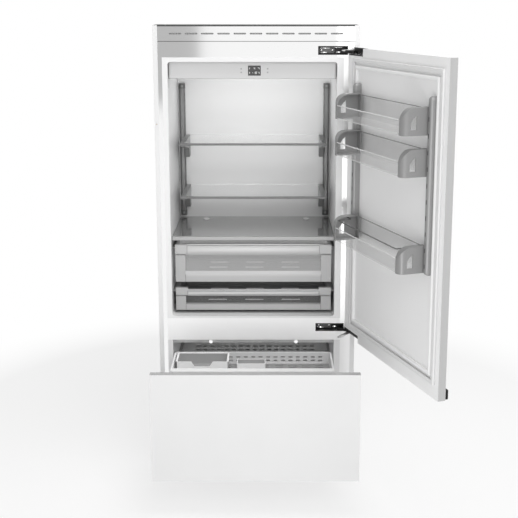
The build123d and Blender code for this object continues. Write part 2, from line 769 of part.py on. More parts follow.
# Base, plinth and feet
node(
    "machine_bay_panel",
    along_x(
        [
            (SHEET, BAY_FLOOR),
            (SHEET, BAY_FLOOR + SHEET),
            (BAY_DEPTH - SHEET, BAY_FLOOR + SHEET),
            (BAY_DEPTH - SHEET, BAY_CEILING + SHEET),
            (DEPTH - SHEET, BAY_CEILING + SHEET),
            (DEPTH - SHEET, BAY_CEILING),
            (BAY_DEPTH, BAY_CEILING),
            (BAY_DEPTH, BAY_FLOOR),
        ],
        -INNER,
        INNER,
    ),
)
tray_front = PLINTH_SETBACK + PLINTH_RETURN
base_outer = slab((-INNER, INNER), (tray_front, DEPTH - SHEET), (BASE_HEIGHT, BASE_HEIGHT + TRAY_EDGE))
BASE_TOP = BASE_HEIGHT + BASE_SHEET
base_hollow = slab(
    (-INNER + BASE_SHEET, INNER - BASE_SHEET),
    (tray_front + BASE_SHEET, DEPTH - SHEET - BASE_SHEET),
    (BASE_TOP, BASE_HEIGHT + TRAY_EDGE + 1),
)
node("base_tray", base_outer - base_hollow)

plinth = along_x(
    [
        (PLINTH_SETBACK, PLINTH_CLEARANCE),
        (PLINTH_SETBACK, BAY_FLOOR),
        (PLINTH_SETBACK + PLINTH_RETURN, BAY_FLOOR),
        (PLINTH_SETBACK + PLINTH_RETURN, BAY_FLOOR - SHEET),
        (PLINTH_SETBACK + SHEET, BAY_FLOOR - SHEET),
        (PLINTH_SETBACK + SHEET, PLINTH_CLEARANCE),
    ],
    -INNER,
    INNER,
)
for index in range(SLOT_COUNT):
    slot_x = (index - (SLOT_COUNT - 1) / 2) * SLOT_PITCH
    for row in PLINTH_ROWS:
        slot_z = PLINTH_CLEARANCE + row * (BAY_FLOOR - PLINTH_CLEARANCE)
        plinth -= Pos(slot_x, depth(PLINTH_SETBACK), slot_z) * Rot(90, 0, 0) * slot
node("plinth", plinth)

foot_profile = make_face(
    Polyline(
        (0, 0),
        (FOOT_RADIUS, 0),
        (FOOT_RADIUS, FOOT_RIM),
        (FOOT_RADIUS - FOOT_TAPER, FOOT_PAD),
        (STUD_RADIUS, FOOT_PAD),
        (STUD_RADIUS, BASE_HEIGHT - FOOT_NUT),
        (FOOT_NUT_RADIUS, BASE_HEIGHT - FOOT_NUT),
        (FOOT_NUT_RADIUS, BASE_HEIGHT),
        (0, BASE_HEIGHT),
        close=True,
    )
)
foot = revolve(Plane.XZ * foot_profile, axis=Axis.Z)
feet = []
for x in (-HALF + FOOT_INSET, HALF - FOOT_INSET):
    for d in (tray_front + FOOT_INSET / 2, DEPTH - FOOT_INSET):
        feet.append(Pos(x, depth(d), 0) * foot)
node("levelling_feet", *feet)

# Back
back_panel = slab((-INNER, INNER), (DEPTH - SHEET, DEPTH), (BAY_CEILING, step_low))
cover = slab((-INNER, INNER), (DEPTH - SHEET, DEPTH), (BASE_HEIGHT, BAY_CEILING))
for index in range(SLOT_COUNT):
    slot_x = (index - (SLOT_COUNT - 1) / 2) * SLOT_PITCH
    for row in VENT_ROWS:
        slot_z = BASE_HEIGHT + row * (BAY_CEILING - BASE_HEIGHT)
        cover -= Pos(slot_x, depth(DEPTH), slot_z) * Rot(90, 0, 0) * slot
node("back_panels", back_panel, cover)

# Compressor
can_bottom = BASE_TOP + GROMMET_HEIGHT + COMPRESSOR_PLATE
can = Pos(COMPRESSOR_X, depth(MACHINE_Y), can_bottom + COMPRESSOR_HEIGHT / 2)
shell = Cylinder(COMPRESSOR_RADIUS, COMPRESSOR_HEIGHT)
shell = can * fillet(shell.edges(), COMPRESSOR_ROUND)
FOOT_SIDE = 2 * COMPRESSOR_RADIUS + COMPRESSOR_MARGIN
foot_plate = Pos(COMPRESSOR_X, depth(MACHINE_Y), can_bottom - COMPRESSOR_PLATE / 2)
foot_plate = foot_plate * Box(FOOT_SIDE, FOOT_SIDE, COMPRESSOR_PLATE)
terminal_place = Pos(COMPRESSOR_X + COMPRESSOR_RADIUS, depth(MACHINE_Y), can_bottom + TERMINAL_BOX[2])
node("compressor", shell + foot_plate + terminal_place * Box(*TERMINAL_BOX))
grommet = Pos(0, 0, BASE_TOP + GROMMET_HEIGHT / 2) * Cylinder(GROMMET_RADIUS, GROMMET_HEIGHT)
mounts = []
for dx in (-1, 1):
    for dy in (-1, 1):
        offset_x = dx * (FOOT_SIDE / 2 - GROMMET_INSET)
        offset_y = dy * (FOOT_SIDE / 2 - GROMMET_INSET)
        mounts.append(Pos(COMPRESSOR_X + offset_x, depth(MACHINE_Y) + offset_y, 0) * grommet)
node("compressor_mounts", *mounts)


# Finned exchangers
def finned(length, width, height, tube, rows, columns):
    """A pack of thin fins on straight tubes, about its own centre, with its length along X."""
    fins = []
    for index in range(FIN_COUNT):
        x = (index / (FIN_COUNT - 1) - 0.5) * (length - 2)
        fins.append(Pos(x, 0, 0) * Box(FIN_THICKNESS, width, height))
    tubes = []
    for row in range(rows):
        for column in range(columns):
            y = ((column + 0.5) / columns - 0.5) * width
            z = ((row + 0.5) / rows - 0.5) * height
            tubes.append(Pos(0, y, z) * Rot(0, 90, 0) * Cylinder(tube, length))
    return Part() + fins + tubes


node(
    "condenser",
    Pos(CONDENSER_X, depth(MACHINE_Y), BASE_TOP + CONDENSER_HEIGHT / 2)
    * finned(CONDENSER_LENGTH, CONDENSER_WIDTH, CONDENSER_HEIGHT, CONDENSER_TUBE_RADIUS, 4, 2),
)
evaporator_front = EVAPORATOR_COVER_DEPTH + EVAPORATOR_GAP
node(
    "evaporator",
    Pos(CENTRE, depth(evaporator_front + EVAPORATOR_DEPTH / 2), HUMP_HEIGHT + EVAPORATOR_HEIGHT / 2)
    * finned(EVAPORATOR_LENGTH, EVAPORATOR_DEPTH, EVAPORATOR_HEIGHT, CONDENSER_TUBE_RADIUS, 3, 2),
)
cover = slab(
    CAVITY_X, (EVAPORATOR_COVER_DEPTH, EVAPORATOR_COVER_DEPTH + LINER), (HUMP_HEIGHT, FREEZER_CEILING)
)
cover_slot = extrude(SlotOverall(EVAPORATOR_SLOT_LENGTH, EVAPORATOR_SLOT_HEIGHT), amount=CUT, both=True)
for index in range(EVAPORATOR_COVER_SLOTS):
    slot_x = CENTRE + (index - (EVAPORATOR_COVER_SLOTS - 1) / 2) * EVAPORATOR_SLOT_PITCH
    for level in EVAPORATOR_SLOT_LEVELS:
        cover -= Pos(slot_x, depth(EVAPORATOR_COVER_DEPTH), HUMP_HEIGHT + level) * Rot(90, 0, 0) * cover_slot
SMALL_FAN_Z = FREEZER_CEILING - SMALL_FAN_RADIUS - SMALL_FAN_DROP
fan_mouth = Pos(CENTRE, depth(EVAPORATOR_COVER_DEPTH), SMALL_FAN_Z) * Rot(90, 0, 0)
node("evaporator_cover", cover - fan_mouth * Cylinder(SMALL_FAN_RADIUS - BLADE_ROOT, CUT))


# Fans: blades on a hub about the Z axis, with a blind bore for the motor's shaft
def fan(radius, hub, length):
    wheel = Cylinder(hub, length)
    reach = radius - hub + BLADE_ROOT
    blade = Rot(FAN_PITCH, 0, 0) * Box(reach, length * 1.3, BLADE_THICKNESS)
    blade = Pos(hub - BLADE_ROOT + reach / 2, 0, 0) * blade
    limit = Cylinder(radius, length)
    for index in range(FAN_BLADES):
        wheel += Rot(0, 0, index * 360 / FAN_BLADES) * blade & limit
    bore = Pos(0, 0, -length / 4) * Cylinder(FAN_SHAFT_RADIUS + RUNNING_CLEARANCE, length / 2)
    return wheel - bore


def motor(radius, length, shaft):
    """A motor can below its shaft: the shaft stands on the can's face, at z 0."""
    body = Pos(0, 0, -length / 2) * Cylinder(radius, length)
    spindle = Pos(0, 0, shaft / 2 - FAN_GAP / 2) * Cylinder(FAN_SHAFT_RADIUS, shaft + FAN_GAP)
    return fillet(body.edges(), MOTOR_ROUND) + spindle


# The condenser fan blows along X, on a motor held in a plate that stands on the base tray
fan_axis = Pos(FAN_X, depth(MACHINE_Y), BASE_TOP + SHROUD_SIDE / 2) * Rot(0, -90, 0)
fan_lift = FAN_HUB_LENGTH / 2 + FAN_GAP
node("condenser_fan", fan_axis * Pos(0, 0, fan_lift) * fan(FAN_RADIUS, FAN_HUB_RADIUS, FAN_HUB_LENGTH))
plate = Box(SHROUD_SIDE, SHROUD_SIDE, SPOKE_THICKNESS) - Cylinder(FAN_RADIUS + SHROUD_CLEARANCE, CUT)
spoke = Box(SHROUD_SIDE, SPOKE_WIDTH, SPOKE_THICKNESS)
plate = plate + spoke + Rot(0, 0, 90) * spoke - Cylinder(MOTOR_RADIUS, CUT)
node(
    "condenser_fan_motor",
    fan_axis * motor(MOTOR_RADIUS, MOTOR_LENGTH, FAN_HUB_LENGTH / 2),
    fan_axis * Pos(0, 0, -MOTOR_LENGTH / 2) * plate,
)

# The evaporator fan blows along Y, on a motor fixed to the freezer's back wall
small_axis = Pos(CENTRE, depth(CAVITY_DEPTH - SMALL_MOTOR_LENGTH), SMALL_FAN_Z) * Rot(90, 0, 0)
small_fan = fan(SMALL_FAN_RADIUS, SMALL_HUB_RADIUS, SMALL_HUB_LENGTH)
node("evaporator_fan", small_axis * Pos(0, 0, SMALL_HUB_LENGTH / 2 + FAN_GAP) * small_fan)
node("evaporator_fan_motor", small_axis * motor(SMALL_MOTOR_RADIUS, SMALL_MOTOR_LENGTH, SMALL_HUB_LENGTH / 2))

# Control fascia, display and lamps
control_x = (CAVITY_LEFT + CONTROL_SIDE_GAP, CAVITY_RIGHT - CONTROL_SIDE_GAP)
control_bottom = FRIDGE_CEILING - CONTROL_HEIGHT
control = along_x(
    [
        (CONTROL_SETBACK, FRIDGE_CEILING),
        (CONTROL_SETBACK, control_bottom),
        (CONTROL_SETBACK + CONTROL_CHIN_DEPTH, control_bottom - CONTROL_CHIN_DROP),
        (CONTROL_SETBACK + CONTROL_DEPTH, control_bottom + CONTROL_TAIL_RISE),
        (CONTROL_SETBACK + CONTROL_DEPTH, FRIDGE_CEILING),
    ],
    *control_x,
)
control = fillet(control.edges().filter_by(Axis.Z).group_by(Axis.Y)[0], CONTROL_ROUND)
control &= fridge_cavity
display_z = FRIDGE_CEILING - DISPLAY_DROP
pocket = slab(
    (DISPLAY_X - DISPLAY_WIDTH / 2 - DISPLAY_GAP, DISPLAY_X + DISPLAY_WIDTH / 2 + DISPLAY_GAP),
    (CONTROL_SETBACK - 1, CONTROL_SETBACK + DISPLAY_THICKNESS),
    (display_z - DISPLAY_HEIGHT / 2 - DISPLAY_GAP, display_z + DISPLAY_HEIGHT / 2 + DISPLAY_GAP),
)
node("control_fascia", control - pocket)
node(
    "display",
    slab(
        (DISPLAY_X - DISPLAY_WIDTH / 2, DISPLAY_X + DISPLAY_WIDTH / 2),
        (CONTROL_SETBACK, CONTROL_SETBACK + DISPLAY_THICKNESS),
        (display_z - DISPLAY_HEIGHT / 2, display_z + DISPLAY_HEIGHT / 2),
    ),
)
lamp_front = CONTROL_SETBACK + CONTROL_DEPTH + LAMP_GAP
lamp = slab(
    (CENTRE - LAMP_LENGTH / 2, CENTRE + LAMP_LENGTH / 2),
    (lamp_front, lamp_front + LAMP_WIDTH),
    (FRIDGE_CEILING - LAMP_THICKNESS, FRIDGE_CEILING),
)
lamp = fillet(lamp.edges().filter_by(Axis.Z), LAMP_ROUND)
node("lamps", lamp, *lenses)


# Shelf rails, shelves and brackets
def rail(centre_x, wall_depth, toward, reach, z, end=0.0):
    """A half-round upright on a wall at wall_depth, standing toward the front (-1) or the back (+1).

    A size for end rounds the two ends back to the wall.
    """
    face = wall_depth + toward * reach
    x = (centre_x - RAIL_WIDTH / 2, centre_x + RAIL_WIDTH / 2)
    piece = slab(x, tuple(sorted((wall_depth, face))), z)
    side = 0 if toward < 0 else -1
    if end:
        piece = fillet(piece.edges().filter_by(Axis.X).group_by(Axis.Y)[side], end)
    long_edges = piece.edges().filter_by(Axis.Z).sort_by(SortBy.LENGTH).group_by(Axis.Y)
    return fillet(long_edges[side], RAIL_WIDTH / 3)


node(
    "shelf_rails",
    *pair(rail(CENTRE + RAIL_OFFSET, CAVITY_DEPTH, -1, RAIL_DEPTH, (RAIL_BOTTOM, RAIL_TOP))),
)
SHELF_X = (CENTRE - SHELF_HALF_WIDTH, CENTRE + SHELF_HALF_WIDTH)
shelves = []
trims = []
brackets = []
for top in SHELF_LEVELS:
    glass = slab(SHELF_X, (SHELF_FRONT, SHELF_BACK), (top - GLASS, top))
    shelves.append(glass)
    trim_front = SHELF_FRONT - TRIM_LIP
    trim_top = top + TRIM_RISE
    trim = slab(SHELF_X, (trim_front, trim_front + TRIM_DEPTH), (trim_top - TRIM_HEIGHT, trim_top))
    trim = fillet(trim.edges().filter_by(Axis.X).group_by(Axis.Y)[0], TRIM_ROUND)
    trims.append(trim - glass)
    bracket_x = CENTRE + RAIL_OFFSET - RAIL_WIDTH / 2
    under = top - GLASS
    wall = CAVITY_DEPTH - BRACKET_BACK_GAP
    arm = along_x(
        [
            (wall, under),
            (wall - BRACKET_REACH, under),
            (wall - BRACKET_REACH, under - BRACKET_NOSE),
            (wall - BRACKET_REACH / 4, under - BRACKET_HEIGHT * BRACKET_KNEE),
            (wall - BRACKET_REACH / 6, under - BRACKET_HEIGHT),
            (wall, under - BRACKET_HEIGHT),
        ],
        bracket_x - BRACKET_WIDTH,
        bracket_x,
    )
    brackets += pair(arm)
node("shelf_glass", *shelves)
node("shelf_brackets", *brackets)

# Crisper cover, its trim and the runners
cover_x = (CAVITY_LEFT + COVER_SIDE_GAP, CAVITY_RIGHT - COVER_SIDE_GAP)
cover_glass = slab(cover_x, (COVER_FRONT, CAVITY_DEPTH - COVER_BACK_GAP), (COVER_TOP - GLASS, COVER_TOP))
node("crisper_cover", cover_glass)
cover_trim = slab(
    cover_x,
    (COVER_FRONT - TRIM_LIP, COVER_FRONT - TRIM_LIP + TRIM_DEPTH),
    (COVER_TOP + COVER_TRIM_RISE - COVER_TRIM_HEIGHT, COVER_TOP + COVER_TRIM_RISE),
)
cover_trim = fillet(cover_trim.edges().filter_by(Axis.X).group_by(Axis.Y)[0], COVER_TRIM_ROUND)
node("shelf_trims", *trims, cover_trim - cover_glass)
BIN_HALF = CRISPER_HALF_WIDTH - CRISPER_WING
runners = []
runner_tops = [COVER_TOP - GLASS]
wing_drop = CRISPER_BIN_DROP + CRISPER_WING_THICKNESS
runner_tops += [levels[1] - wing_drop - RUNNER_GAP for levels in (CRISPER_UPPER, CRISPER_LOWER)]
for top in runner_tops:
    ledge = slab(
        (CENTRE + BIN_HALF + RUNNER_SIDE_GAP, CENTRE + CAVITY_HALF),
        (CRISPER_FRONT + CRISPER_FRAME + RUNNER_FRONT_GAP, CAVITY_DEPTH - RUNNER_BACK_GAP),
        (top - RUNNER_HEIGHT, top),
    )
    runners += pair(ledge)
node("crisper_runners", *runners)


def crisper(name, levels, handle_height, bar_levels, grip_drop):
    """A crisper: its bin, a front frame with a sloped lower bar, and a grip between two caps."""
    bottom, top = levels
    bar_face, bar_height = bar_levels
    frame_back = CRISPER_FRONT + CRISPER_FRAME
    x = (CENTRE - BIN_HALF, CENTRE + BIN_HALF)
    bin_top = top - CRISPER_BIN_DROP
    bin_d = (frame_back, frame_back + CRISPER_BIN_DEPTH)
    body = tub(x, bin_d, (bottom, bin_top), CRISPER_WALL, CRISPER_RADIUS)
    wing = slab(
        (CENTRE + BIN_HALF - CRISPER_WALL, CENTRE + CRISPER_HALF_WIDTH),
        (bin_d[0] + CRISPER_RADIUS, bin_d[1] - CRISPER_RADIUS),
        (bin_top - CRISPER_WING_THICKNESS, bin_top),
    )
    node(name + "_bin", body + wing + mirrored(wing))
    left = CENTRE - CRISPER_HALF_WIDTH
    right = CENTRE + CRISPER_HALF_WIDTH
    handle_bottom = top - handle_height
    frame = along_y(
        [
            (left, bottom),
            (right, bottom),
            (right, handle_bottom),
            (right - CRISPER_POST, handle_bottom),
            (right - CRISPER_POST, bottom + bar_height),
            (left + CRISPER_POST, bottom + bar_height),
            (left + CRISPER_POST, handle_bottom),
            (left, handle_bottom),
        ],
        CRISPER_FRONT,
        frame_back,
    )
    frame -= along_x(
        [
            (CRISPER_FRONT, bottom + bar_face),
            (frame_back - CRISPER_BAR_EDGE, bottom + bar_height),
            (CRISPER_FRONT, bottom + bar_height),
        ],
        left + CRISPER_POST,
        right - CRISPER_POST,
    )
    node(name + "_front", frame)
    face = frame_back - HANDLE_DEPTH
    grip_top = top - grip_drop
    lip = face + HANDLE_BULGE
    groove = lip + HANDLE_GROOVE
    inside = face + HANDLE_BULGE + HANDLE_WALL
    bulge_top = grip_top - HANDLE_LIP - HANDLE_GROOVE
    edge = Polyline(
        (depth(lip), bulge_top),
        (depth(groove), bulge_top),
        (depth(groove), grip_top - HANDLE_LIP),
        (depth(lip), grip_top - HANDLE_LIP),
        (depth(lip), grip_top - HANDLE_BULGE),
        (depth(groove), grip_top),
        (depth(frame_back), grip_top),
        (depth(frame_back), handle_bottom),
        (depth(frame_back - HANDLE_WALL), handle_bottom),
        (depth(frame_back - HANDLE_WALL), bulge_top - HANDLE_WALL),
        (depth(inside), bulge_top - HANDLE_WALL),
        (depth(inside), handle_bottom),
        (depth(lip), handle_bottom),
    )
    bulge_middle = (depth(face), (bulge_top + handle_bottom) / 2)
    bulge = ThreePointArc((depth(lip), handle_bottom), bulge_middle, (depth(lip), bulge_top))
    grip_length = right - left - 2 * CRISPER_CAP
    grip = Pos(left + CRISPER_CAP, 0, 0) * extrude(Plane.YZ * make_face([edge, bulge]), amount=grip_length)
    cap = slab(
        (right - CRISPER_CAP, right),
        (face + HANDLE_CAP_DROP, frame_back),
        (handle_bottom, top - HANDLE_CAP_DROP),
    )
    cap = fillet(cap.edges().filter_by(Axis.X).group_by(Axis.Y)[0], HANDLE_CAP_ROUND)
    node(name + "_handle", grip, *pair(cap))


crisper("crisper_upper", CRISPER_UPPER, CRISPER_UPPER_HANDLE, CRISPER_UPPER_BAR, CRISPER_UPPER_GRIP_DROP)
crisper("crisper_lower", CRISPER_LOWER, CRISPER_LOWER_HANDLE, CRISPER_LOWER_BAR, CRISPER_LOWER_GRIP_DROP)


# Door and drawer fronts share one build: a folded outer pan, a foam core, an inner skin and a gasket
def front_pan(z):
    half = PANEL_WIDTH / 2
    back = DOOR_INNER - LINER
    outer = slab((-half, half), (DOOR_OUTER, back), z)
    hollow = slab((-half + SHEET, half - SHEET), (DOOR_OUTER + SHEET, back + 1), (z[0] + SHEET, z[1] - SHEET))
    return outer - hollow


def front_core(z):
    half = PANEL_WIDTH / 2 - SHEET
    return slab((-half, half), (DOOR_OUTER + SHEET, DOOR_INNER - LINER), (z[0] + SHEET, z[1] - SHEET))


def front_skin(z, mouth):
    """The inner skin, with a raised border that stands inside the mouth."""
    plate = slab((-PANEL_WIDTH / 2, PANEL_WIDTH / 2), (DOOR_INNER - LINER, DOOR_INNER), z)
    border = ring(
        (CAVITY_LEFT + DYKE_CLEARANCE, CAVITY_RIGHT - DYKE_CLEARANCE),
        (DOOR_INNER, DOOR_INNER + DYKE_HEIGHT),
        (mouth[0] + DYKE_CLEARANCE, mouth[1] - DYKE_CLEARANCE),
        DYKE_WIDTH,
    )
    border = fillet(border.edges().group_by(Axis.Y)[-1], DYKE_ROUND)
    return plate + border


def front_gasket(mouth):
    reach = GASKET_OUTSET
    return ring(
        (CAVITY_LEFT - reach, CAVITY_RIGHT + reach),
        (DOOR_INNER, -GASKET_GAP),
        (mouth[0] - reach, mouth[1] + reach),
        GASKET_OUTSET - GASKET_INSET,
    )


FRIDGE_MOUTH = (FRIDGE_FLOOR, FRIDGE_CEILING)
FREEZER_MOUTH = (FREEZER_FLOOR, FREEZER_CEILING)
door_z = (DOOR_BOTTOM, DOOR_TOP)
door_pan = front_pan(door_z)
door_core = front_core(door_z)
door_skin = front_skin(door_z, FRIDGE_MOUTH)
for level in hinge_levels():
    door_pan -= notch(*level)
    door_core -= notch(*level)
    door_skin -= notch(*level)
node("door_outer_panel", opened(door_pan))
node("door_foam", opened(door_core))
node("door_liner", opened(door_skin))
node("door_gasket", opened(front_gasket(FRIDGE_MOUTH)))

border_face = DOOR_INNER + DYKE_HEIGHT
door_rail_z = (DOOR_RAIL_BOTTOM, DOOR_RAIL_TOP)
door_rail_reach = DYKE_HEIGHT + DOOR_RAIL_DEPTH
door_rail = rail(CENTRE + DOOR_RAIL_OFFSET, DOOR_INNER, 1, door_rail_reach, door_rail_z, DOOR_RAIL_END)
node("door_rails", *[opened(piece) for piece in pair(door_rail)])


BIN_OUTSIDE = CENTRE + DOOR_RAIL_OFFSET - RAIL_WIDTH / 2


def cap_block(bottom, inset, round_by):
    """A block whose top front corner is an arc, and whose outer front edge is rounded."""
    back = border_face + BIN_BACK_GAP + inset
    front = border_face + BIN_DEPTH - inset
    base = bottom + inset
    top = bottom + BIN_HEIGHT - inset
    lip = bottom + BIN_FRONT_HEIGHT
    start = (depth(front), lip)
    finish = (depth(front - BIN_ARC_RUN + inset), top)
    middle = (depth(front - BIN_ARC_MIDDLE[0]), lip + BIN_ARC_MIDDLE[1] - inset)
    outline = [
        Line((depth(back), base), (depth(front), base)),
        Line((depth(front), base), start),
        ThreePointArc(start, middle, finish),
        Line(finish, (depth(back), top)),
        Line((depth(back), top), (depth(back), base)),
    ]
    block = Pos(BIN_OUTSIDE - BIN_CAP, 0, 0) * extrude(Plane.YZ * make_face(outline), amount=BIN_CAP - inset)
    upright = block.edges().filter_by(Axis.Z).group_by(Axis.Y)[-1].sort_by(Axis.X)[-1]
    return fillet(upright, round_by)


def bin_cap(bottom):
    """A moulded hollow cap on a bin's end, open towards the bin, with a five-sided window."""
    front = border_face + BIN_DEPTH
    hollow = cap_block(bottom, BIN_CAP_WALL, BIN_CAP_ROUND - BIN_CAP_WALL)
    shell = cap_block(bottom, 0.0, BIN_CAP_ROUND) - hollow
    window = Polyline(*[(depth(front - back_by), bottom + up) for back_by, up in BIN_WINDOW], close=True)
    return shell - Pos(BIN_OUTSIDE - BIN_CAP, 0, 0) * extrude(Plane.YZ * make_face(window), amount=BIN_CAP)


def bin_tray(bottom):
    """A clear trough between its two caps."""
    reach = DOOR_RAIL_OFFSET - RAIL_WIDTH / 2 - BIN_CAP
    back = border_face + BIN_BACK_GAP
    front = border_face + BIN_DEPTH - BIN_INSET
    high = bottom + BIN_HEIGHT - BIN_BACK_DROP
    low = bottom + BIN_FRONT_HEIGHT - BIN_INSET
    base = bottom + BIN_FLOOR
    return along_x(
        [
            (back, base),
            (front, base),
            (front, low),
            (front - BIN_WALL, low),
            (front - BIN_WALL, base + BIN_WALL),
            (back + BIN_WALL, base + BIN_WALL),
            (back + BIN_WALL, high),
            (back, high),
        ],
        CENTRE - reach,
        CENTRE + reach,
    )


caps = []
for level in BIN_LEVELS:
    caps += [opened(piece) for piece in pair(bin_cap(level))]
node("door_bin_caps", *caps)
node("door_bins", *[opened(bin_tray(level)) for level in BIN_LEVELS])

wire_x = DOOR_RAIL_OFFSET - RAIL_WIDTH / 2 - BIN_CAP_WALL
wire_z = BIN_LEVELS[-1] + BIN_HEIGHT - WIRE_DROP
wire_back = border_face + BIN_DEPTH - WIRE_REACH[0]
wire_front = border_face + BIN_DEPTH - WIRE_REACH[1]
wire_path = FilletPolyline(
    (CENTRE - wire_x, depth(wire_back), wire_z),
    (CENTRE - wire_x + WIRE_STEP, depth(wire_back), wire_z),
    (CENTRE - wire_x + WIRE_STEP, depth(wire_front), wire_z),
    (CENTRE + wire_x - WIRE_STEP, depth(wire_front), wire_z),
    (CENTRE + wire_x - WIRE_STEP, depth(wire_back), wire_z),
    (CENTRE + wire_x, depth(wire_back), wire_z),
    radius=WIRE_BEND,
)
wire = sweep(Plane(origin=wire_path @ 0, z_dir=wire_path % 0) * Circle(WIRE_RADIUS), path=wire_path)
node("bottle_rail", opened(wire))

block_x = -PANEL_WIDTH / 2 + BUMPER_INSET[0]
block_z = DOOR_BOTTOM + BUMPER_INSET[1]
block = slab(
    (block_x, block_x + BUMPER_SIZE[0]),
    (DOOR_OUTER - BUMPER_SIZE[1], DOOR_OUTER),
    (block_z, block_z + BUMPER_SIZE[2]),
)
node("door_stop_block", opened(fillet(block.edges().group_by(Axis.Y)[0], BUMPER_ROUND)))

# Freezer drawer
drawer_z = (DRAWER_BOTTOM, DRAWER_TOP)
node("drawer_front_panel", pulled(front_pan(drawer_z)))
node("drawer_foam", pulled(front_core(drawer_z)))
node("drawer_inner_panel", pulled(front_skin(drawer_z, FREEZER_MOUTH)))
node("drawer_gasket", pulled(front_gasket(FREEZER_MOUTH)))


def channel(outer_x, inner_x, z, d, sheet):
    """A C-section on the right side, its back at outer_x and open towards the middle."""
    return along_y(
        [
            (inner_x, z[0]),
            (outer_x, z[0]),
            (outer_x, z[1]),
            (inner_x, z[1]),
            (inner_x, z[1] - sheet),
            (outer_x - sheet, z[1] - sheet),
            (outer_x - sheet, z[0] + sheet),
            (inner_x, z[0] + sheet),
        ],
        *d,
    )


slide_d = (SLIDE_START, SLIDE_START + SLIDE_LENGTH)
slide_z = (SLIDE_BOTTOM, SLIDE_BOTTOM + SLIDE_HEIGHT)
nest = SLIDE_SHEET + SLIDE_PLAY
outer_member = channel(CAVITY_RIGHT, CAVITY_RIGHT - SLIDE_WIDTH, slide_z, slide_d, SLIDE_SHEET)
middle_z = (slide_z[0] + nest, slide_z[1] - nest)
middle_inner = CAVITY_RIGHT - SLIDE_WIDTH + SLIDE_MIDDLE_SET_IN
middle_member = channel(CAVITY_RIGHT - nest, middle_inner, middle_z, slide_d, SLIDE_SHEET)
inner_z = (middle_z[0] + nest, middle_z[1] - nest)
arm_x = CAVITY_RIGHT - SLIDE_WIDTH - ARM_GAP
inner_member = slab((arm_x, CAVITY_RIGHT - 2 * nest), slide_d, inner_z)
node("slide_outer_members", *pair(outer_member))
node("slide_middle_members", *[pulled(piece, 0.5) for piece in pair(middle_member)])

# The carrying frame: two side plates with a ledge for the basket, on the inner slide members
arm = along_y(
    [
        (arm_x - ARM_PLATE, ARM_BOTTOM),
        (arm_x, ARM_BOTTOM),
        (arm_x, TRAY_RIM),
        (arm_x - ARM_PLATE, TRAY_RIM),
        (arm_x - ARM_PLATE, BASKET_TOP),
        (arm_x - ARM_PLATE - ARM_LEDGE, BASKET_TOP),
        (arm_x - ARM_PLATE - ARM_LEDGE, BASKET_TOP - ARM_PLATE),
        (arm_x - ARM_PLATE, BASKET_TOP - ARM_PLATE),
    ],
    DOOR_INNER + DYKE_HEIGHT,
    SLIDE_START + SLIDE_LENGTH,
)
node("drawer_frame", *[pulled(piece) for piece in pair(arm + inner_member)])

basket_half = arm_x - CENTRE - ARM_PLATE - ARM_LEDGE - SEAT_PLAY
basket_front = DOOR_INNER + DYKE_HEIGHT + BASKET_GAP
basket = tub(
    (CENTRE - basket_half, CENTRE + basket_half),
    (basket_front, basket_front + BASKET_DEPTH),
    (BASKET_BOTTOM, BASKET_TOP + BASKET_WALL),
    BASKET_WALL,
    BASKET_RADIUS,
)
rim = slab(
    (CENTRE + basket_half - BASKET_WALL, arm_x - ARM_PLATE - SEAT_PLAY),
    (basket_front + BASKET_RADIUS, basket_front + BASKET_DEPTH - BASKET_RADIUS),
    (BASKET_TOP, BASKET_TOP + BASKET_WALL),
)
node("freezer_basket", pulled(basket + rim + mirrored(rim)))

tray_half = arm_x - CENTRE - ARM_PLATE - SEAT_PLAY
tray_x = (CENTRE - tray_half, CENTRE + tray_half)
tray_d = (TRAY_START, TRAY_START + TRAY_LENGTH)
tray = tub(tray_x, tray_d, (TRAY_FLOOR, TRAY_RIM + TRAY_WALL), TRAY_WALL, TRAY_RADIUS)
tray_wing = slab(
    (CENTRE + tray_half - TRAY_WALL, arm_x),
    (tray_d[0] + TRAY_WING_INSET, tray_d[1] - TRAY_WING_INSET),
    (TRAY_RIM, TRAY_RIM + TRAY_WALL),
)
tray += tray_wing
tray += mirrored(tray_wing)
ledge_d = (tray_d[0] + TRAY_WALL, tray_d[0] + TRAY_LEDGE)
tray += slab((tray_x[0] + TRAY_WALL, tray_x[1] - TRAY_WALL), ledge_d, (TRAY_RIM, TRAY_RIM + TRAY_WALL))
tray_slot = extrude(SlotOverall(*TRAY_SLOT_SIZE), amount=CUT, both=True)
for index in range(TRAY_SLOTS):
    slot_x = CENTRE + (index - (TRAY_SLOTS - 1) / 2) * TRAY_SLOT_PITCH
    for row in TRAY_SLOT_ROWS:
        tray -= Pos(slot_x, depth(tray_d[1] - row), TRAY_FLOOR) * tray_slot
back_slot = extrude(SlotOverall(*BACK_SLOT_SIZE), amount=CUT, both=True)
for index in range(BACK_SLOTS):
    slot_x = CENTRE + (index - (BACK_SLOTS - 1) / 2) * BACK_SLOT_PITCH
    for row in BACK_SLOT_ROWS:
        tray -= Pos(slot_x, depth(tray_d[1]), TRAY_FLOOR + row) * Rot(90, 0, 0) * back_slot
node("freezer_tray", pulled(tray))

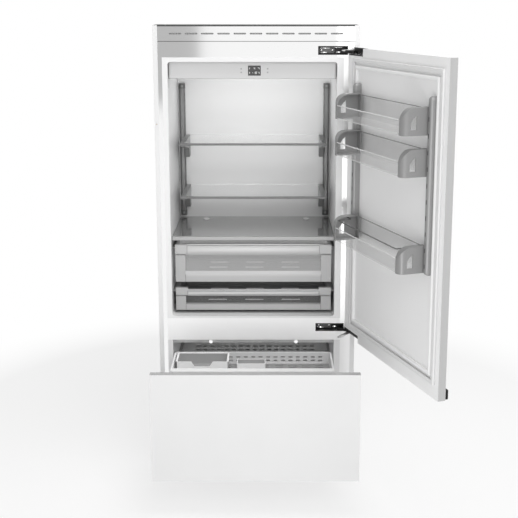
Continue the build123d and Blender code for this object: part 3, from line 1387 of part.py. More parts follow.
ice_x = tray_x[0] + ICE_BIN_LEFT
ice_back = TRAY_START + TRAY_LENGTH - ICE_BIN_BACK
ice_front = ice_back - ICE_BIN_SIZE[1]
ice_floor = TRAY_FLOOR + TRAY_WALL
ice = tub(
    (ice_x, ice_x + ICE_BIN_SIZE[0]),
    (ice_front, ice_back),
    (ice_floor, ice_floor + ICE_BIN_SIZE[2]),
    BOX_WALL,
    ICE_BIN_RADIUS,
)
dip = along_y([(ice_x + x, ice_floor + z) for x, z in ICE_DIP], ice_front - 1, ice_front + ICE_DIP_CUT)
box_x = ice_x + ICE_BIN_SIZE[0] + SMALL_BOX_OFFSET[0]
box_front = ice_front - SMALL_BOX_OFFSET[1]
small_box = tub(
    (box_x, box_x + SMALL_BOX_SIZE[0]),
    (box_front, box_front + SMALL_BOX_SIZE[1]),
    (ice_floor, ice_floor + SMALL_BOX_SIZE[2]),
    BOX_WALL,
    SMALL_BOX_RADIUS,
)
node("freezer_boxes", pulled(ice - dip), pulled(small_box))

os.makedirs("parts", exist_ok=True)
for name, shape in NODES.items():
    export_step(shape, f"parts/{name}.step")
print(len(NODES), "nodes")
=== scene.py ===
# %% [markdown]
# # A built-in refrigerator
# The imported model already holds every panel, shelf, bin and machine part at its real size and place. This
# lesson leaves those shapes alone. It gives each of them a finish, adds the small parts that only a close
# look shows, and sets up a pale studio with the camera close to where the photo was taken.

# %% Load the frame
import math

import bmesh
import bpy
import numpy as np
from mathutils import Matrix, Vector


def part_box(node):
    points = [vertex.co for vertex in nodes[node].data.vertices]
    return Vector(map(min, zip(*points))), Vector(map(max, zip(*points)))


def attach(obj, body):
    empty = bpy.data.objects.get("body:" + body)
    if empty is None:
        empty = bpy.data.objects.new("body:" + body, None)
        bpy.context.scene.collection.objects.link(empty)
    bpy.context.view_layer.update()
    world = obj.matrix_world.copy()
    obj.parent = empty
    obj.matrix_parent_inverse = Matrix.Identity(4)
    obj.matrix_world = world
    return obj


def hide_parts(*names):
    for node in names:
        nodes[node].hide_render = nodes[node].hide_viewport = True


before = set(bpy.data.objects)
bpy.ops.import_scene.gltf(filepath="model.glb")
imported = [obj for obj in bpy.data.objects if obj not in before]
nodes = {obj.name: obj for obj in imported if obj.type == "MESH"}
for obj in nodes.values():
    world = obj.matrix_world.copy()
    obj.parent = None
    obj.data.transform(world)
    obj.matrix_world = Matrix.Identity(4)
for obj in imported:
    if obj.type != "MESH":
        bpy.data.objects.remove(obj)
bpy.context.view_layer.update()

# %% [markdown]
# ## Where things are
# Sizes below are in millimetres, as a maker would read them from a drawing, and become metres only when a
# mesh or a finish is made. A depth is measured inwards from the cabinet's front plane. The door and the
# drawer stand open. Their small parts could be drawn in that turned place, but it is easier to draw
# them as if shut and to carry them then: the door turns about its hinge line, and the drawer slides
# straight out.

# %% Places and carriers
MM = 0.001
RIGHT, INWARD, UP = (1.0, 0.0, 0.0), (0.0, 1.0, 0.0), (0.0, 0.0, 1.0)
OUTWARD = (0.0, -1.0, 0.0)
FRONT = -300.0
CENTRE = -16.5
HINGE_LINE = (420.0, -323.0)
DOOR_TURN = math.radians(110.0)
DRAWER_OUT = 490.0


def at(x, depth, z):
    """Points in the cabinet: X to the right, Y from the depth behind the front plane, Z up."""
    x, depth, z = np.broadcast_arrays(x, depth, z)
    return np.stack([x, FRONT + depth, z], axis=-1).astype(float)


def in_mm(box):
    """A box's lowest and highest corners, from metres to millimetres."""
    return [np.array(corner) / MM for corner in box]


def door_open(points):
    """Turn points of the shut door about the hinge line."""
    turned = np.array(points, float)
    dx = points[..., 0] - HINGE_LINE[0]
    dy = points[..., 1] - HINGE_LINE[1]
    turned[..., 0] = HINGE_LINE[0] + dx * math.cos(DOOR_TURN) - dy * math.sin(DOOR_TURN)
    turned[..., 1] = HINGE_LINE[1] + dx * math.sin(DOOR_TURN) + dy * math.cos(DOOR_TURN)
    return turned


def drawer_open(points):
    """Slide points of the shut drawer out of the cabinet."""
    return points - np.array([0.0, DRAWER_OUT, 0.0])


print("door turned", round(math.degrees(DOOR_TURN)), "degrees, drawer out", DRAWER_OUT, "mm")

# %% [markdown]
# ## Surfaces from arrays
# Small parts could be made from Blender's ready shapes and modifiers. Here every new part is a grid
# instead: one parameter runs round a profile, the other along a path. Working on whole arrays keeps the
# shapes exact and the code short. A few makers cover this object: a bar with closed ends, a ring that
# comes back to its start, a rounded plate on a face, a turned screw head, and an outline carried along a
# line.


# %% Grid helpers
def grid_faces(rows, columns, rows_close=False):
    """Quads between neighbours of a grid of points. Its columns close round, and its rows may."""
    i, j = np.meshgrid(np.arange(rows if rows_close else rows - 1), np.arange(columns), indexing="ij")
    here = i * columns + j
    right = i * columns + (j + 1) % columns
    up_right = ((i + 1) % rows) * columns + (j + 1) % columns
    up = ((i + 1) % rows) * columns + j
    return np.stack([here, right, up_right, up], axis=-1).reshape(-1, 4).tolist()


def bar(rows):
    """Close a stack of equal outlines, shaped (rows, points, 3), into a solid with flat ends."""
    count, around = rows.shape[:2]
    faces = grid_faces(count, around)
    faces.append(list(range(around))[::-1])
    faces.append([(count - 1) * around + k for k in range(around)])
    return rows.reshape(-1, 3), faces


def ring(rows):
    """Close a stack of outlines that comes back to its start."""
    count, around = rows.shape[:2]
    return rows.reshape(-1, 3), grid_faces(count, around, rows_close=True)


def rounded_outline(width, height, radius, steps=5):
    """A rounded rectangle about the origin: four corner arcs, each of some steps."""
    turn = np.linspace(0.0, math.pi / 2, steps)
    quarter = np.arange(4) * math.pi / 2
    angles = (quarter[:, None] + turn[None, :]).ravel()
    sign_x = np.repeat([1, -1, -1, 1], steps)
    sign_y = np.repeat([1, 1, -1, -1], steps)
    x = sign_x * (width / 2 - radius) + radius * np.cos(angles)
    y = sign_y * (height / 2 - radius) + radius * np.sin(angles)
    return np.stack([x, y], axis=-1)


def round_outline(radius, steps=12):
    """A circle about the origin."""
    angles = np.linspace(0.0, 2 * math.pi, steps, endpoint=False)
    return radius * np.stack([np.cos(angles), np.sin(angles)], axis=-1)


print("outlines and grids ready")

# %% Makers
TOP_SHARE = 0.96
ROUND_SHARE = 2.2
THIN = 0.35


def in_space(outline, across, along):
    """Lay a flat outline in space: its two coordinates run across and along."""
    return outline[:, :1] * np.array(across, float) + outline[:, 1:] * np.array(along, float)


def pill(centre, across, along, facing, rise, size, radius, soft=0.3):
    """A thin rounded plate on a face. Rows of (outline share, rise share) draw its top edge in a little."""
    flat = in_space(rounded_outline(size[0], size[1], radius), across, along)
    levels = np.array([[1.0, 0.0], [1.0, 1.0 - soft], [TOP_SHARE, 1.0]])
    proud = np.array(facing, float) * rise
    return bar(np.array(centre) + levels[:, :1, None] * flat[None] + levels[:, 1:, None] * proud)


def face_bar(x, depth, z, size, rise=THIN, facing=OUTWARD):
    """A thin plate with nearly round ends, upright on a surface at some depth."""
    return pill(at(x, depth, z), RIGHT, UP, facing, rise, size, min(size) / ROUND_SHARE)


def turned_head(centre, axis, radius, height, steps=14):
    """A screw head: a profile of (radius share, height share) turned about an axis, with a recess."""
    profile = np.array([[1.0, 0.0], [0.98, 0.35], [0.82, 0.8], [0.45, 1.0], [0.42, 0.55], [0.02, 0.5]])
    axis = np.array(axis, float)
    helper = np.array(UP) if abs(axis[2]) < 0.9 else np.array(RIGHT)
    across = np.cross(axis, helper)
    across /= np.linalg.norm(across)
    flat = in_space(round_outline(radius, steps), across, np.cross(axis, across))
    return bar(np.array(centre) + profile[:, :1, None] * flat[None] + profile[:, 1:, None] * axis * height)


def along_line(outline, start, end, across, along):
    """An outline carried straight from start to end."""
    flat = in_space(outline, across, along)
    return bar(np.stack([np.array(start) + flat, np.array(end) + flat]))


print("makers ready: bar, ring, pill, face_bar, turned_head, along_line")


# %% Turn arrays into a piece
SHARP_EDGE = math.radians(40.0)


def make_piece(name, parts, finish, body, carry=None):
    """Join parts into one mesh in metres, point its faces outwards, and let it ride on a body."""
    points, faces, start = [], [], 0
    for part_points, part_faces in parts:
        points.append(part_points)
        faces += [[k + start for k in face] for face in part_faces]
        start += len(part_points)
    joined = np.concatenate(points)
    if carry is not None:
        joined = carry(joined)
    mesh = bpy.data.meshes.new(name)
    mesh.from_pydata((joined * MM).tolist(), [], faces)
    cleaner = bmesh.new()
    cleaner.from_mesh(mesh)
    bmesh.ops.recalc_face_normals(cleaner, faces=cleaner.faces)
    cleaner.to_mesh(mesh)
    cleaner.free()
    mesh.polygons.foreach_set("use_smooth", [True] * len(mesh.polygons))
    mesh.set_sharp_from_angle(angle=SHARP_EDGE)
    piece = bpy.data.objects.new(name, mesh)
    bpy.context.scene.collection.objects.link(piece)
    mesh.materials.append(finish)
    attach(piece, body)
    print(name, "faces", len(mesh.polygons), "on", body)
    return piece


print("edges sharper than", round(math.degrees(SHARP_EDGE)), "degrees stay sharp")

# %% [markdown]
# ## Effects that several finishes share
# Real plastic and paint are never one flat colour. Moulded plastic has a slow change of tone and a fine
# skin, sheet metal has long brush lines, and what stands near the floor gathers dust. Pictures could be
# wrapped round the parts, but noise worked out from a point's place needs no files and has no seams. Each
# effect is a node group with named inputs, so that every material can use it with its own numbers.


# %% Colours and sockets
def even(value):
    """One number as a colour."""
    return (value, value, value, 1.0)


def grey(value, tint=(1.0, 1.0, 1.0)):
    """A display grey from 0 to 255, as the linear colour that a shader needs."""
    share = value / 255.0
    linear = share / 12.92 if share <= 0.04045 else ((share + 0.055) / 1.055) ** 2.4
    return tuple(linear * t for t in tint) + (1.0,)


def feed(tree, value, socket):
    """Give a socket a number, or link another socket to it."""
    if isinstance(value, (int, float)):
        socket.default_value = value
    else:
        tree.links.new(value, socket)


FLOAT, COLOUR, VECTOR = "NodeSocketFloat", "NodeSocketColor", "NodeSocketVector"
SURFACE = [("Colour", COLOUR), ("Roughness", FLOAT), ("Height", FLOAT)]
WHITE = even(0.8)
FULL_LIGHT = even(1.0)
print("colours ready, white is", WHITE[0])


# %% Node helpers
def start_group(name, inputs, outputs):
    """An empty node group. Inputs are (label, kind, default), outputs are (label, kind)."""
    group = bpy.data.node_groups.new(name, "ShaderNodeTree")
    for label, kind, default in inputs:
        socket = group.interface.new_socket(name=label, in_out="INPUT", socket_type=kind)
        socket.default_value = default
    for label, kind in outputs:
        group.interface.new_socket(name=label, in_out="OUTPUT", socket_type=kind)
    return group, group.nodes.new("NodeGroupInput"), group.nodes.new("NodeGroupOutput")


def math_node(tree, operation, first, second):
    """One Math node: each operand is a socket or a number."""
    node = tree.nodes.new("ShaderNodeMath")
    node.operation = operation
    feed(tree, first, node.inputs[0])
    feed(tree, second, node.inputs[1])
    return node.outputs[0]


def vector_node(tree, operation, first, second, label=1):
    """One Vector Math node of two sockets."""
    node = tree.nodes.new("ShaderNodeVectorMath")
    node.operation = operation
    tree.links.new(first, node.inputs[0])
    tree.links.new(second, node.inputs[label])
    return node


def noise_node(tree, place, scale, detail):
    """Noise at a place: its scale is a number or a socket."""
    node = tree.nodes.new("ShaderNodeTexNoise")
    node.inputs["Detail"].default_value = detail
    tree.links.new(place, node.inputs["Vector"])
    feed(tree, scale, node.inputs["Scale"])
    return node.outputs["Fac"]


def map_range(tree, value, given, wanted, smooth=False):
    """Carry a value from one range of (low, high) to another, and hold it at the ends."""
    node = tree.nodes.new("ShaderNodeMapRange")
    if smooth:
        node.interpolation_type = "SMOOTHSTEP"
    feed(tree, value, node.inputs["Value"])
    for label, number in zip(("From Min", "From Max", "To Min", "To Max"), (*given, *wanted)):
        feed(tree, number, node.inputs[label])
    return node.outputs["Result"]


def mix_colours(tree, share, first, second):
    """The first colour where the share is 0, the second where it is 1."""
    mix = tree.nodes.new("ShaderNodeMix")
    mix.data_type = "RGBA"
    for index, socket in ((0, share), (6, first), (7, second)):
        tree.links.new(socket, mix.inputs[index])
    return mix.outputs[2]


def vary_colour(tree, colour, swing):
    """Multiply a colour by one plus twice a swing about zero."""
    factor = math_node(tree, "ADD", math_node(tree, "MULTIPLY", swing, 2.0), 1.0)
    return vector_node(tree, "SCALE", colour, factor, "Scale").outputs[0]


def object_place(tree):
    """The point's place on its object, which is its place in the cabinet too."""
    return tree.nodes.new("ShaderNodeTexCoord").outputs["Object"]


print("node helpers ready")


# %% Moulded skin
CLOUD_SCALE, CLOUD_DETAIL, SKIN_DETAIL = 4.0, 3.0, 2.0
CLOUD_ROUGHNESS = 0.18
NOISE_MIDDLE = 0.5


def make_moulded_skin():
    """Slow tone: noise in broad clouds. Skin: a fine noise for the bump. Roughness follows the clouds."""
    group, given, out = start_group(
        "moulded_skin",
        [("Colour", COLOUR, WHITE), ("Tone", FLOAT, 0.03), ("Skin", FLOAT, 900.0),
         ("Roughness", FLOAT, 0.4)],
        SURFACE,
    )
    place = object_place(group)
    clouds = noise_node(group, place, CLOUD_SCALE, CLOUD_DETAIL)
    skin = noise_node(group, place, given.outputs["Skin"], SKIN_DETAIL)
    centred = math_node(group, "SUBTRACT", clouds, NOISE_MIDDLE)
    swing = math_node(group, "MULTIPLY", centred, given.outputs["Tone"])
    rougher = math_node(group, "MULTIPLY", centred, CLOUD_ROUGHNESS)
    group.links.new(vary_colour(group, given.outputs["Colour"], swing), out.inputs["Colour"])
    group.links.new(math_node(group, "ADD", rougher, given.outputs["Roughness"]), out.inputs["Roughness"])
    group.links.new(skin, out.inputs["Height"])
    return group


MOULDED = make_moulded_skin()
print("group", MOULDED.name)


# %% Brush lines
ALONG_X, ALONG_Y, ALONG_Z = (2.0, 900.0, 900.0), (900.0, 3.0, 900.0), (900.0, 900.0, 3.0)
LINE_DETAIL, LINE_ROUGHNESS = 4.0, 1.5


def make_brush_lines():
    """Noise stretched along one direction: colour, roughness and height all follow the same lines."""
    group, given, out = start_group(
        "brush_lines",
        [("Colour", COLOUR, WHITE), ("Depth", FLOAT, 0.12), ("Stretch", VECTOR, ALONG_X),
         ("Roughness", FLOAT, 0.3)],
        SURFACE,
    )
    stretched = vector_node(group, "MULTIPLY", object_place(group), given.outputs["Stretch"]).outputs[0]
    lines = noise_node(group, stretched, 1.0, LINE_DETAIL)
    centred = math_node(group, "SUBTRACT", lines, NOISE_MIDDLE)
    swing = math_node(group, "MULTIPLY", centred, given.outputs["Depth"])
    rougher = math_node(group, "MULTIPLY", swing, LINE_ROUGHNESS)
    group.links.new(vary_colour(group, given.outputs["Colour"], swing), out.inputs["Colour"])
    group.links.new(math_node(group, "ADD", rougher, given.outputs["Roughness"]), out.inputs["Roughness"])
    group.links.new(lines, out.inputs["Height"])
    return group


BRUSHED = make_brush_lines()
print("group", BRUSHED.name)


# %% Settled dust
DUST_COLOUR = (0.4, 0.38, 0.35, 1.0)
SIDE_DUST = 0.15
SPECKLE_SCALE, SPECKLE_DETAIL = 160.0, 4.0


def make_settled_dust():
    """Dust lies on faces that look up, most near the floor: mask = upward share times a fall-off in Z."""
    group, given, out = start_group(
        "settled_dust",
        [("Colour", COLOUR, WHITE), ("Dust", COLOUR, DUST_COLOUR), ("Top", FLOAT, 0.4),
         ("Amount", FLOAT, 0.5)],
        [("Colour", COLOUR)],
    )
    place = object_place(group)
    height = group.nodes.new("ShaderNodeSeparateXYZ")
    normal = group.nodes.new("ShaderNodeSeparateXYZ")
    group.links.new(place, height.inputs[0])
    group.links.new(group.nodes.new("ShaderNodeNewGeometry").outputs["Normal"], normal.inputs[0])
    fall = map_range(group, height.outputs["Z"], (0.0, given.outputs["Top"]), (1.0, 0.0))
    upward = math_node(group, "MAXIMUM", math_node(group, "ADD", normal.outputs["Z"], SIDE_DUST), 0.0)
    mask = math_node(group, "MULTIPLY", fall, upward)
    speckle = noise_node(group, place, SPECKLE_SCALE, SPECKLE_DETAIL)
    mask = math_node(group, "MULTIPLY", mask, speckle)
    mask = math_node(group, "MULTIPLY", mask, given.outputs["Amount"])
    dusty = mix_colours(group, mask, given.outputs["Colour"], given.outputs["Dust"])
    group.links.new(dusty, out.inputs["Colour"])
    return group


DUST = make_settled_dust()
print("group", DUST.name)


# %% Change along a direction
def make_level_change():
    """Two colours of one piece: up to a level along an axis the first, past it the second, with a blend."""
    group, given, out = start_group(
        "level_change",
        [("Colour", COLOUR, WHITE), ("Past", COLOUR, WHITE), ("Axis", VECTOR, UP), ("Level", FLOAT, 1.0),
         ("Blend", FLOAT, 0.004)],
        [("Colour", COLOUR)],
    )
    reach = vector_node(group, "DOT_PRODUCT", object_place(group), given.outputs["Axis"]).outputs["Value"]
    rise = math_node(group, "SUBTRACT", reach, given.outputs["Level"])
    share = math_node(group, "ADD", math_node(group, "DIVIDE", rise, given.outputs["Blend"]), 0.5)
    share = math_node(group, "MINIMUM", math_node(group, "MAXIMUM", share, 0.0), 1.0)
    changed = mix_colours(group, share, given.outputs["Colour"], given.outputs["Past"])
    group.links.new(changed, out.inputs["Colour"])
    return group


LEVEL_CHANGE = make_level_change()
print("group", LEVEL_CHANGE.name)

# %% [markdown]
# ## Finishes
# A finish is a Principled shader fed by one of the groups. Plain numbers, such as how metallic a thing
# is, go straight on the shader. What changes over the surface comes from the group. One piece can have
# several tones, such as a tray with a dark floor and a white rim. It could be cut up for that, but a
# layer that changes the colour past a level leaves its mesh whole.


# %% Finish maker
def group_node(tree, group, settings):
    """A node group placed in a material with its own values."""
    node = tree.nodes.new("ShaderNodeGroup")
    node.node_tree = group
    for label, value in settings.items():
        node.inputs[label].default_value = value
    return node


def make_finish(name, colour, group, settings, bump=(0.0, 0.0), layers=(), changes=None, **plain):
    """A material: the group's colour, roughness and height feed the shader.

    Layers change its colour, changes name shader sockets whose value goes from one to another past a level,
    and plain values sit on the shader's own sockets.
    """
    material = bpy.data.materials.new(name)
    material.use_nodes = True
    tree = material.node_tree
    shader = tree.nodes["Principled BSDF"]
    effect = group_node(tree, group, {"Colour": colour, **settings})
    colour_out = effect.outputs["Colour"]
    for layer_group, layer_settings in layers:
        layer = group_node(tree, layer_group, layer_settings)
        tree.links.new(colour_out, layer.inputs["Colour"])
        colour_out = layer.outputs["Colour"]
    tree.links.new(colour_out, shader.inputs["Base Color"])
    tree.links.new(effect.outputs["Roughness"], shader.inputs["Roughness"])
    if bump[0]:
        relief = tree.nodes.new("ShaderNodeBump")
        relief.inputs["Strength"].default_value = bump[0]
        relief.inputs["Distance"].default_value = bump[1]
        tree.links.new(effect.outputs["Height"], relief.inputs["Height"])
        tree.links.new(relief.outputs["Normal"], shader.inputs["Normal"])
    for label, change in (changes or {}).items():
        tree.links.new(group_node(tree, LEVEL_CHANGE, change).outputs["Colour"], shader.inputs[label])
    for label, value in plain.items():
        shader.inputs[label.replace("_", " ")].default_value = value
    return material


print("finish maker ready for", len(nodes), "nodes")

# %% Kinds of finish
SMOOTH, PLASTIC_BUMP, BRUSH_BUMP = (0, 0), (0.08, 0.0004), (0.02, 0.0002)
BLEND, END_BLEND = 4.0, 1.0


def moulded(name, value, roughness=0.4, tone=0.03, skin=900.0, tint=(1, 1, 1), bump=PLASTIC_BUMP, **more):
    """Moulded plastic, rubber or paint of a display grey."""
    settings = {"Tone": tone, "Skin": skin, "Roughness": roughness}
    return make_finish(name, grey(value, tint), MOULDED, settings, bump, **more)


def brushed(name, value, roughness=0.3, depth=0.12, stretch=ALONG_X, metal=1.0, **more):
    """Brushed metal of a display grey, lines along the small number in stretch. Lacquer lowers metal."""
    settings = {"Depth": depth, "Stretch": stretch, "Roughness": roughness}
    return make_finish(name, grey(value), BRUSHED, settings, BRUSH_BUMP, Metallic=metal, **more)


def clear(name, value, roughness, alpha, tone=0.03, **more):
    """Clear plastic or glass: a smooth coated skin that lets some of what is behind it through."""
    return moulded(name, value, roughness, tone, bump=SMOOTH, Alpha=alpha, Coat_Weight=1.0, **more)


def level_settings(second, level, axis, blend):
    """What comes past a level along an axis, with its blend. Lengths in millimetres."""
    return {"Past": second, "Axis": axis, "Level": level * MM, "Blend": blend * MM}


def past(level, value, axis=UP, blend=BLEND):
    """A layer that turns a finish to another display grey past a level."""
    return LEVEL_CHANGE, level_settings(grey(value), level, axis, blend)


def from_to(first, second, level, axis=UP, blend=BLEND):
    """A shader value that goes from a first to a second past a level."""
    return {"Colour": even(first), **level_settings(even(second), level, axis, blend)}


def past_both_ends(reach, value):
    """Two layers that give another display grey to both ends of a piece about the mouth's centre."""
    return [past(reach + side * CENTRE, value, (side, 0.0, 0.0), END_BLEND) for side in (-1.0, 1.0)]


def dress(material, *names):
    """Put a finish on CAD nodes, in place of the plain one they came with."""
    for node_name in names:
        slots = nodes[node_name].data.materials
        slots.clear()
        slots.append(material)
    print(material.name, "on", ", ".join(names))


print("kinds of finish: moulded, brushed, clear")

# %% [markdown]
# ### Cabinet
# The sides and the fronts are painted sheet with a faint orange-peel skin. The frame round the mouth is
# brushed steel, nearly a mirror, and satin on the hinge side next to the open door. The top cover is
# black, and the back is zinc-coated sheet. Brush lines could come from a picture of metal. Stretched
# noise gives them at any size.

# %% Cabinet finishes
DUST_TOP = 450.0
FLOOR_DUST = [(DUST, {"Top": DUST_TOP * MM, "Amount": 0.7})]
ORANGE_PEEL = 260.0
MIRROR, SATIN = 0.055, 0.3
HINGE_SIDE, HINGE_SIDE_BLEND = 350.0, 20.0
side_paint = moulded("side_paint", 226, roughness=0.38, skin=ORANGE_PEEL, bump=(0.05, 0.0006))
dress(side_paint, "side_panels")
front_paint = moulded("front_paint", 220, roughness=0.42, skin=ORANGE_PEEL, bump=(0.04, 0.0006))
dress(front_paint, "door_outer_panel", "drawer_front_panel")
dress(moulded("top_black", 42, skin=ORANGE_PEEL), "top_panel")
calmer = {"Roughness": from_to(MIRROR, SATIN, HINGE_SIDE, RIGHT, HINGE_SIDE_BLEND)}
dress(brushed("fascia_steel", 246, depth=0.015, changes=calmer), "top_grille", "front_frame")
zinc = moulded("zinc_sheet", 178, roughness=0.5, tone=0.16, skin=60.0, bump=(0.1, 0.0004),
               layers=FLOOR_DUST, Metallic=0.75)
dress(zinc, "back_panels", "machine_bay_panel", "base_tray")
dress(moulded("plinth_paint", 92, roughness=0.45, skin=ORANGE_PEEL, layers=FLOOR_DUST), "plinth")
dress(moulded("foot_plastic", 45, roughness=0.55, layers=FLOOR_DUST), "levelling_feet")

# %% [markdown]
# ### Inside
# The liner is one sheet of white plastic drawn over a mould, so it is smooth with a slow change of tone.
# Rails and trims are lacquered aluminium. The trims are darker on the two upper shelves than on the
# crisper cover: painted shade.
# Shelves are clear glass. The cover is clear glass drawn as a grey sheet that lets little through: its
# grey is painted shade and painted reflection, and its coat mirrors the wall behind it at this low angle.
# Clear sheets get an alpha and a coat rather than real refraction, which would need many more samples to
# look clean.

# %% Inside finishes
liner_white = moulded("liner_white", 230, roughness=0.36, tone=0.02)
dress(liner_white, "fridge_liner", "drawer_inner_panel", "freezer_liner")
dress(moulded("door_white", 238, tone=0.02), "door_liner")
# The mullion is the liner's plastic made brighter than the liner: painted light where it sits in shade.
dress(moulded("mullion_painted_light", 250, tone=0.02), "mullion")
dress(moulded("evaporator_cover_grey", 186, roughness=0.45), "evaporator_cover")
dress(moulded("control_grey", 206, roughness=0.38, tone=0.015), "control_fascia")
dress(moulded("display_black", 66, roughness=0.16, tone=0.05, Coat_Weight=0.5), "display")

# %% Lamps, rails and shelves
FREEZER_BELOW, COVER_BELOW = 1000.0, 1150.0
FAINT = 0.12
lamp_glow = {"Emission Color": from_to(FAINT, 1.0, FREEZER_BELOW)}
dress(moulded("lamp_white", 245, roughness=0.5, changes=lamp_glow, Emission_Strength=1.1), "lamps")
upright_metal = brushed("upright_aluminium", 160, roughness=0.5, stretch=ALONG_Z, metal=0.6)
dress(upright_metal, "door_rails")
rail_metal = brushed("shelf_rail_metal", 128, roughness=0.4, depth=0.05, stretch=ALONG_Z, metal=0.5)
dress(rail_metal, "shelf_rails")
dress(moulded("bracket_grey", 132, tone=0.05), "shelf_brackets")
# Past a level the trims of the upper shelves turn darker: painted shade.
upper_trims_painted_shade = [past(COVER_BELOW, 118)]
trim_metal = brushed("trim_aluminium", 168, roughness=0.5, depth=0.05, layers=upper_trims_painted_shade, metal=0.4)
dress(trim_metal, "shelf_trims")
dress(clear("shelf_glass", 226, 0.04, 0.14, tone=0.02, tint=(0.97, 1.0, 0.99)), "shelf_glass")
# The cover's grey, which lets little through, is painted shade and painted reflection on clear glass.
dress(clear("cover_glass", 152, 0.05, 0.82), "crisper_cover")
dress(moulded("runner_grey", 120, roughness=0.45), "crisper_runners")

# %% [markdown]
# ### Crispers
# The crisper fronts are lacquered aluminium: a grip between two caps, two posts and a sloped bar that
# catches the light along its upper edge. On the upper crisper that edge is a lighter grey, a painted
# highlight. The bins behind are clear in front and cloudy further in, where the plastic is seen edge on.
# The lower bin is a darker grey, painted shade under the upper one. Light that passes through thin
# plastic is costly to trace, so the upper bin glows very faintly, a painted glow.

# %% Crisper finishes
POST_START, GRIP_END = 312.0, 302.0
BAR_EDGE, BAR_BLEND = 897.0, 18.0
POST_GREY, POST_LINES = 166, (3.0, 700.0, 700.0)
BIN_FRONT_WALL = 6.0
CLEAR_FRONT, CLOUDY = 0.1, 0.9
# The lower bin's darker grey is painted shade under the upper bin. The upper bin's glow is painted light.
BIN_SHADE_AND_GLOW = {"upper": (238, 0.07), "lower": (160, 0.0)}


def front_metal(name, layers=()):
    """The crispers' lacquered metal, drawn sideways."""
    return brushed(name, POST_GREY, roughness=0.4, depth=0.05, stretch=POST_LINES, layers=layers, metal=0.3)


dress(front_metal("crisper_front_metal"), "crisper_lower_front")
# The upper bar turns lighter above a level near its top: a painted highlight, kept between the posts.
BAR_PAINTED_HIGHLIGHT = [past(BAR_EDGE, 188, UP, BAR_BLEND)] + past_both_ends(POST_START, POST_GREY)
dress(front_metal("crisper_bar_painted_highlight", BAR_PAINTED_HIGHLIGHT), "crisper_upper_front")
grip_metal = brushed("crisper_grip_metal", 176, roughness=0.36, depth=0.05,
                     layers=past_both_ends(GRIP_END, POST_GREY), metal=0.3)
dress(grip_metal, "crisper_upper_handle", "crisper_lower_handle")
for level, (value, painted_light_glow) in BIN_SHADE_AND_GLOW.items():
    node_name = "crisper_" + level + "_bin"
    front_wall = in_mm(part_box(node_name))[0][1] + BIN_FRONT_WALL
    fade = {"Alpha": from_to(CLEAR_FRONT, CLOUDY, front_wall, INWARD)}
    bin_clear = moulded("crisper_clear_" + level, value, roughness=0.2, bump=SMOOTH, changes=fade,
                        Coat_Weight=0.4, Emission_Color=FULL_LIGHT, Emission_Strength=painted_light_glow)
    dress(bin_clear, node_name)

# %% [markdown]
# ### Door and hinges
# The door bins are clear with grey end caps that have a little metal flake in them. The lowest bin has a
# steel wire. The hinges are black with bright pins and links, and the seals are soft pale rubber. Each
# could have a graph of its own, but the same kinds of finish with other numbers tell them apart.

# %% Door finishes
dress(clear("door_bin_clear", 200, 0.06, 0.17), "door_bins")
dress(moulded("bin_cap_grey", 140, roughness=0.42, tone=0.04, Metallic=0.25), "door_bin_caps")
chrome = brushed("bright_chrome", 226, roughness=0.1, depth=0.03)
dress(chrome, "hinge_pins")
dress(brushed("wire_steel", 112, roughness=0.25, depth=0.03, metal=0.7), "bottle_rail")
dress(brushed("link_steel", 196, roughness=0.4), "hinge_links")
hinge_black = moulded("hinge_black", 34, roughness=0.35, tone=0.1, Metallic=0.4)
dress(hinge_black, "hinge_boxes", "hinge_cups")
block_rubber = moulded("block_rubber", 30, roughness=0.6, tone=0.08, skin=500.0)
dress(block_rubber, "door_stop_block", "compressor_mounts")
gasket_rubber = moulded("gasket_rubber", 222, roughness=0.55)
dress(gasket_rubber, "door_gasket", "drawer_gasket")

# %% [markdown]
# ### Freezer drawer
# The drawer's frame and basket are white plastic on plain steel slides. The tray has a white rim and front
# ledge, and its pale walls and grey floor are painted shade. The ice bin is white outside and darker
# within, as painted shade, and glows faintly, as painted light through its thin plastic. Each is one
# moulding, so its tones are layers that change at a level taken from the node's own box.

# %% Drawer finishes
TRAY_FLOOR, TRAY_LIP, TRAY_LEDGE = 7.0, 4.0, 42.0
ICE_BIN_REACH, ICE_BIN_SKIN, ICE_BIN_LIP = 125.0, 2.0, 3.0
SHORT_BLEND = 2.0
dress(brushed("slide_steel", 190, stretch=ALONG_Y), "slide_outer_members", "slide_middle_members")
dress(moulded("tray_white", 236, tone=0.02), "drawer_frame", "freezer_basket")
tray_low, tray_high = in_mm(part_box("freezer_tray"))
# The tray's floor is grey and its walls a little darker than its white rim and ledge: painted shade.
TRAY_SHADE_LAYERS = [
    past(tray_low[2] + TRAY_FLOOR, 226),
    past(tray_high[2] - TRAY_LIP, 240),
    past(-(tray_low[1] + TRAY_LEDGE), 240, OUTWARD),
]
dress(moulded("tray_painted_shade", 150, roughness=0.45, tone=0.02, layers=TRAY_SHADE_LAYERS), "freezer_tray")
box_low, box_high = in_mm(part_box("freezer_boxes"))
# Past the ice bin's front wall its inside turns grey: painted shade. Its top lip stays white.
BOX_SHADE_LAYERS = [
    past(tray_high[1] - ICE_BIN_REACH + ICE_BIN_SKIN, 146, INWARD, SHORT_BLEND),
    past(box_high[2] - ICE_BIN_LIP, 242, UP, SHORT_BLEND),
]
# The boxes glow faintly: painted light through their thin white plastic.
boxes_shade_and_glow = moulded("boxes_shade_and_glow", 248, tone=0.02, layers=BOX_SHADE_LAYERS, Emission_Color=FULL_LIGHT,
                    Emission_Strength=0.08)
dress(boxes_shade_and_glow, "freezer_boxes")

# %% [markdown]
# ### Machine bay
# Nobody sees these until the rear cover comes off: a black compressor, aluminium coils, black fans on
# grey motors, and the yellow foam between the sheets. They could stay plain, but a part that is used
# again may be opened, so they get honest finishes all the same.

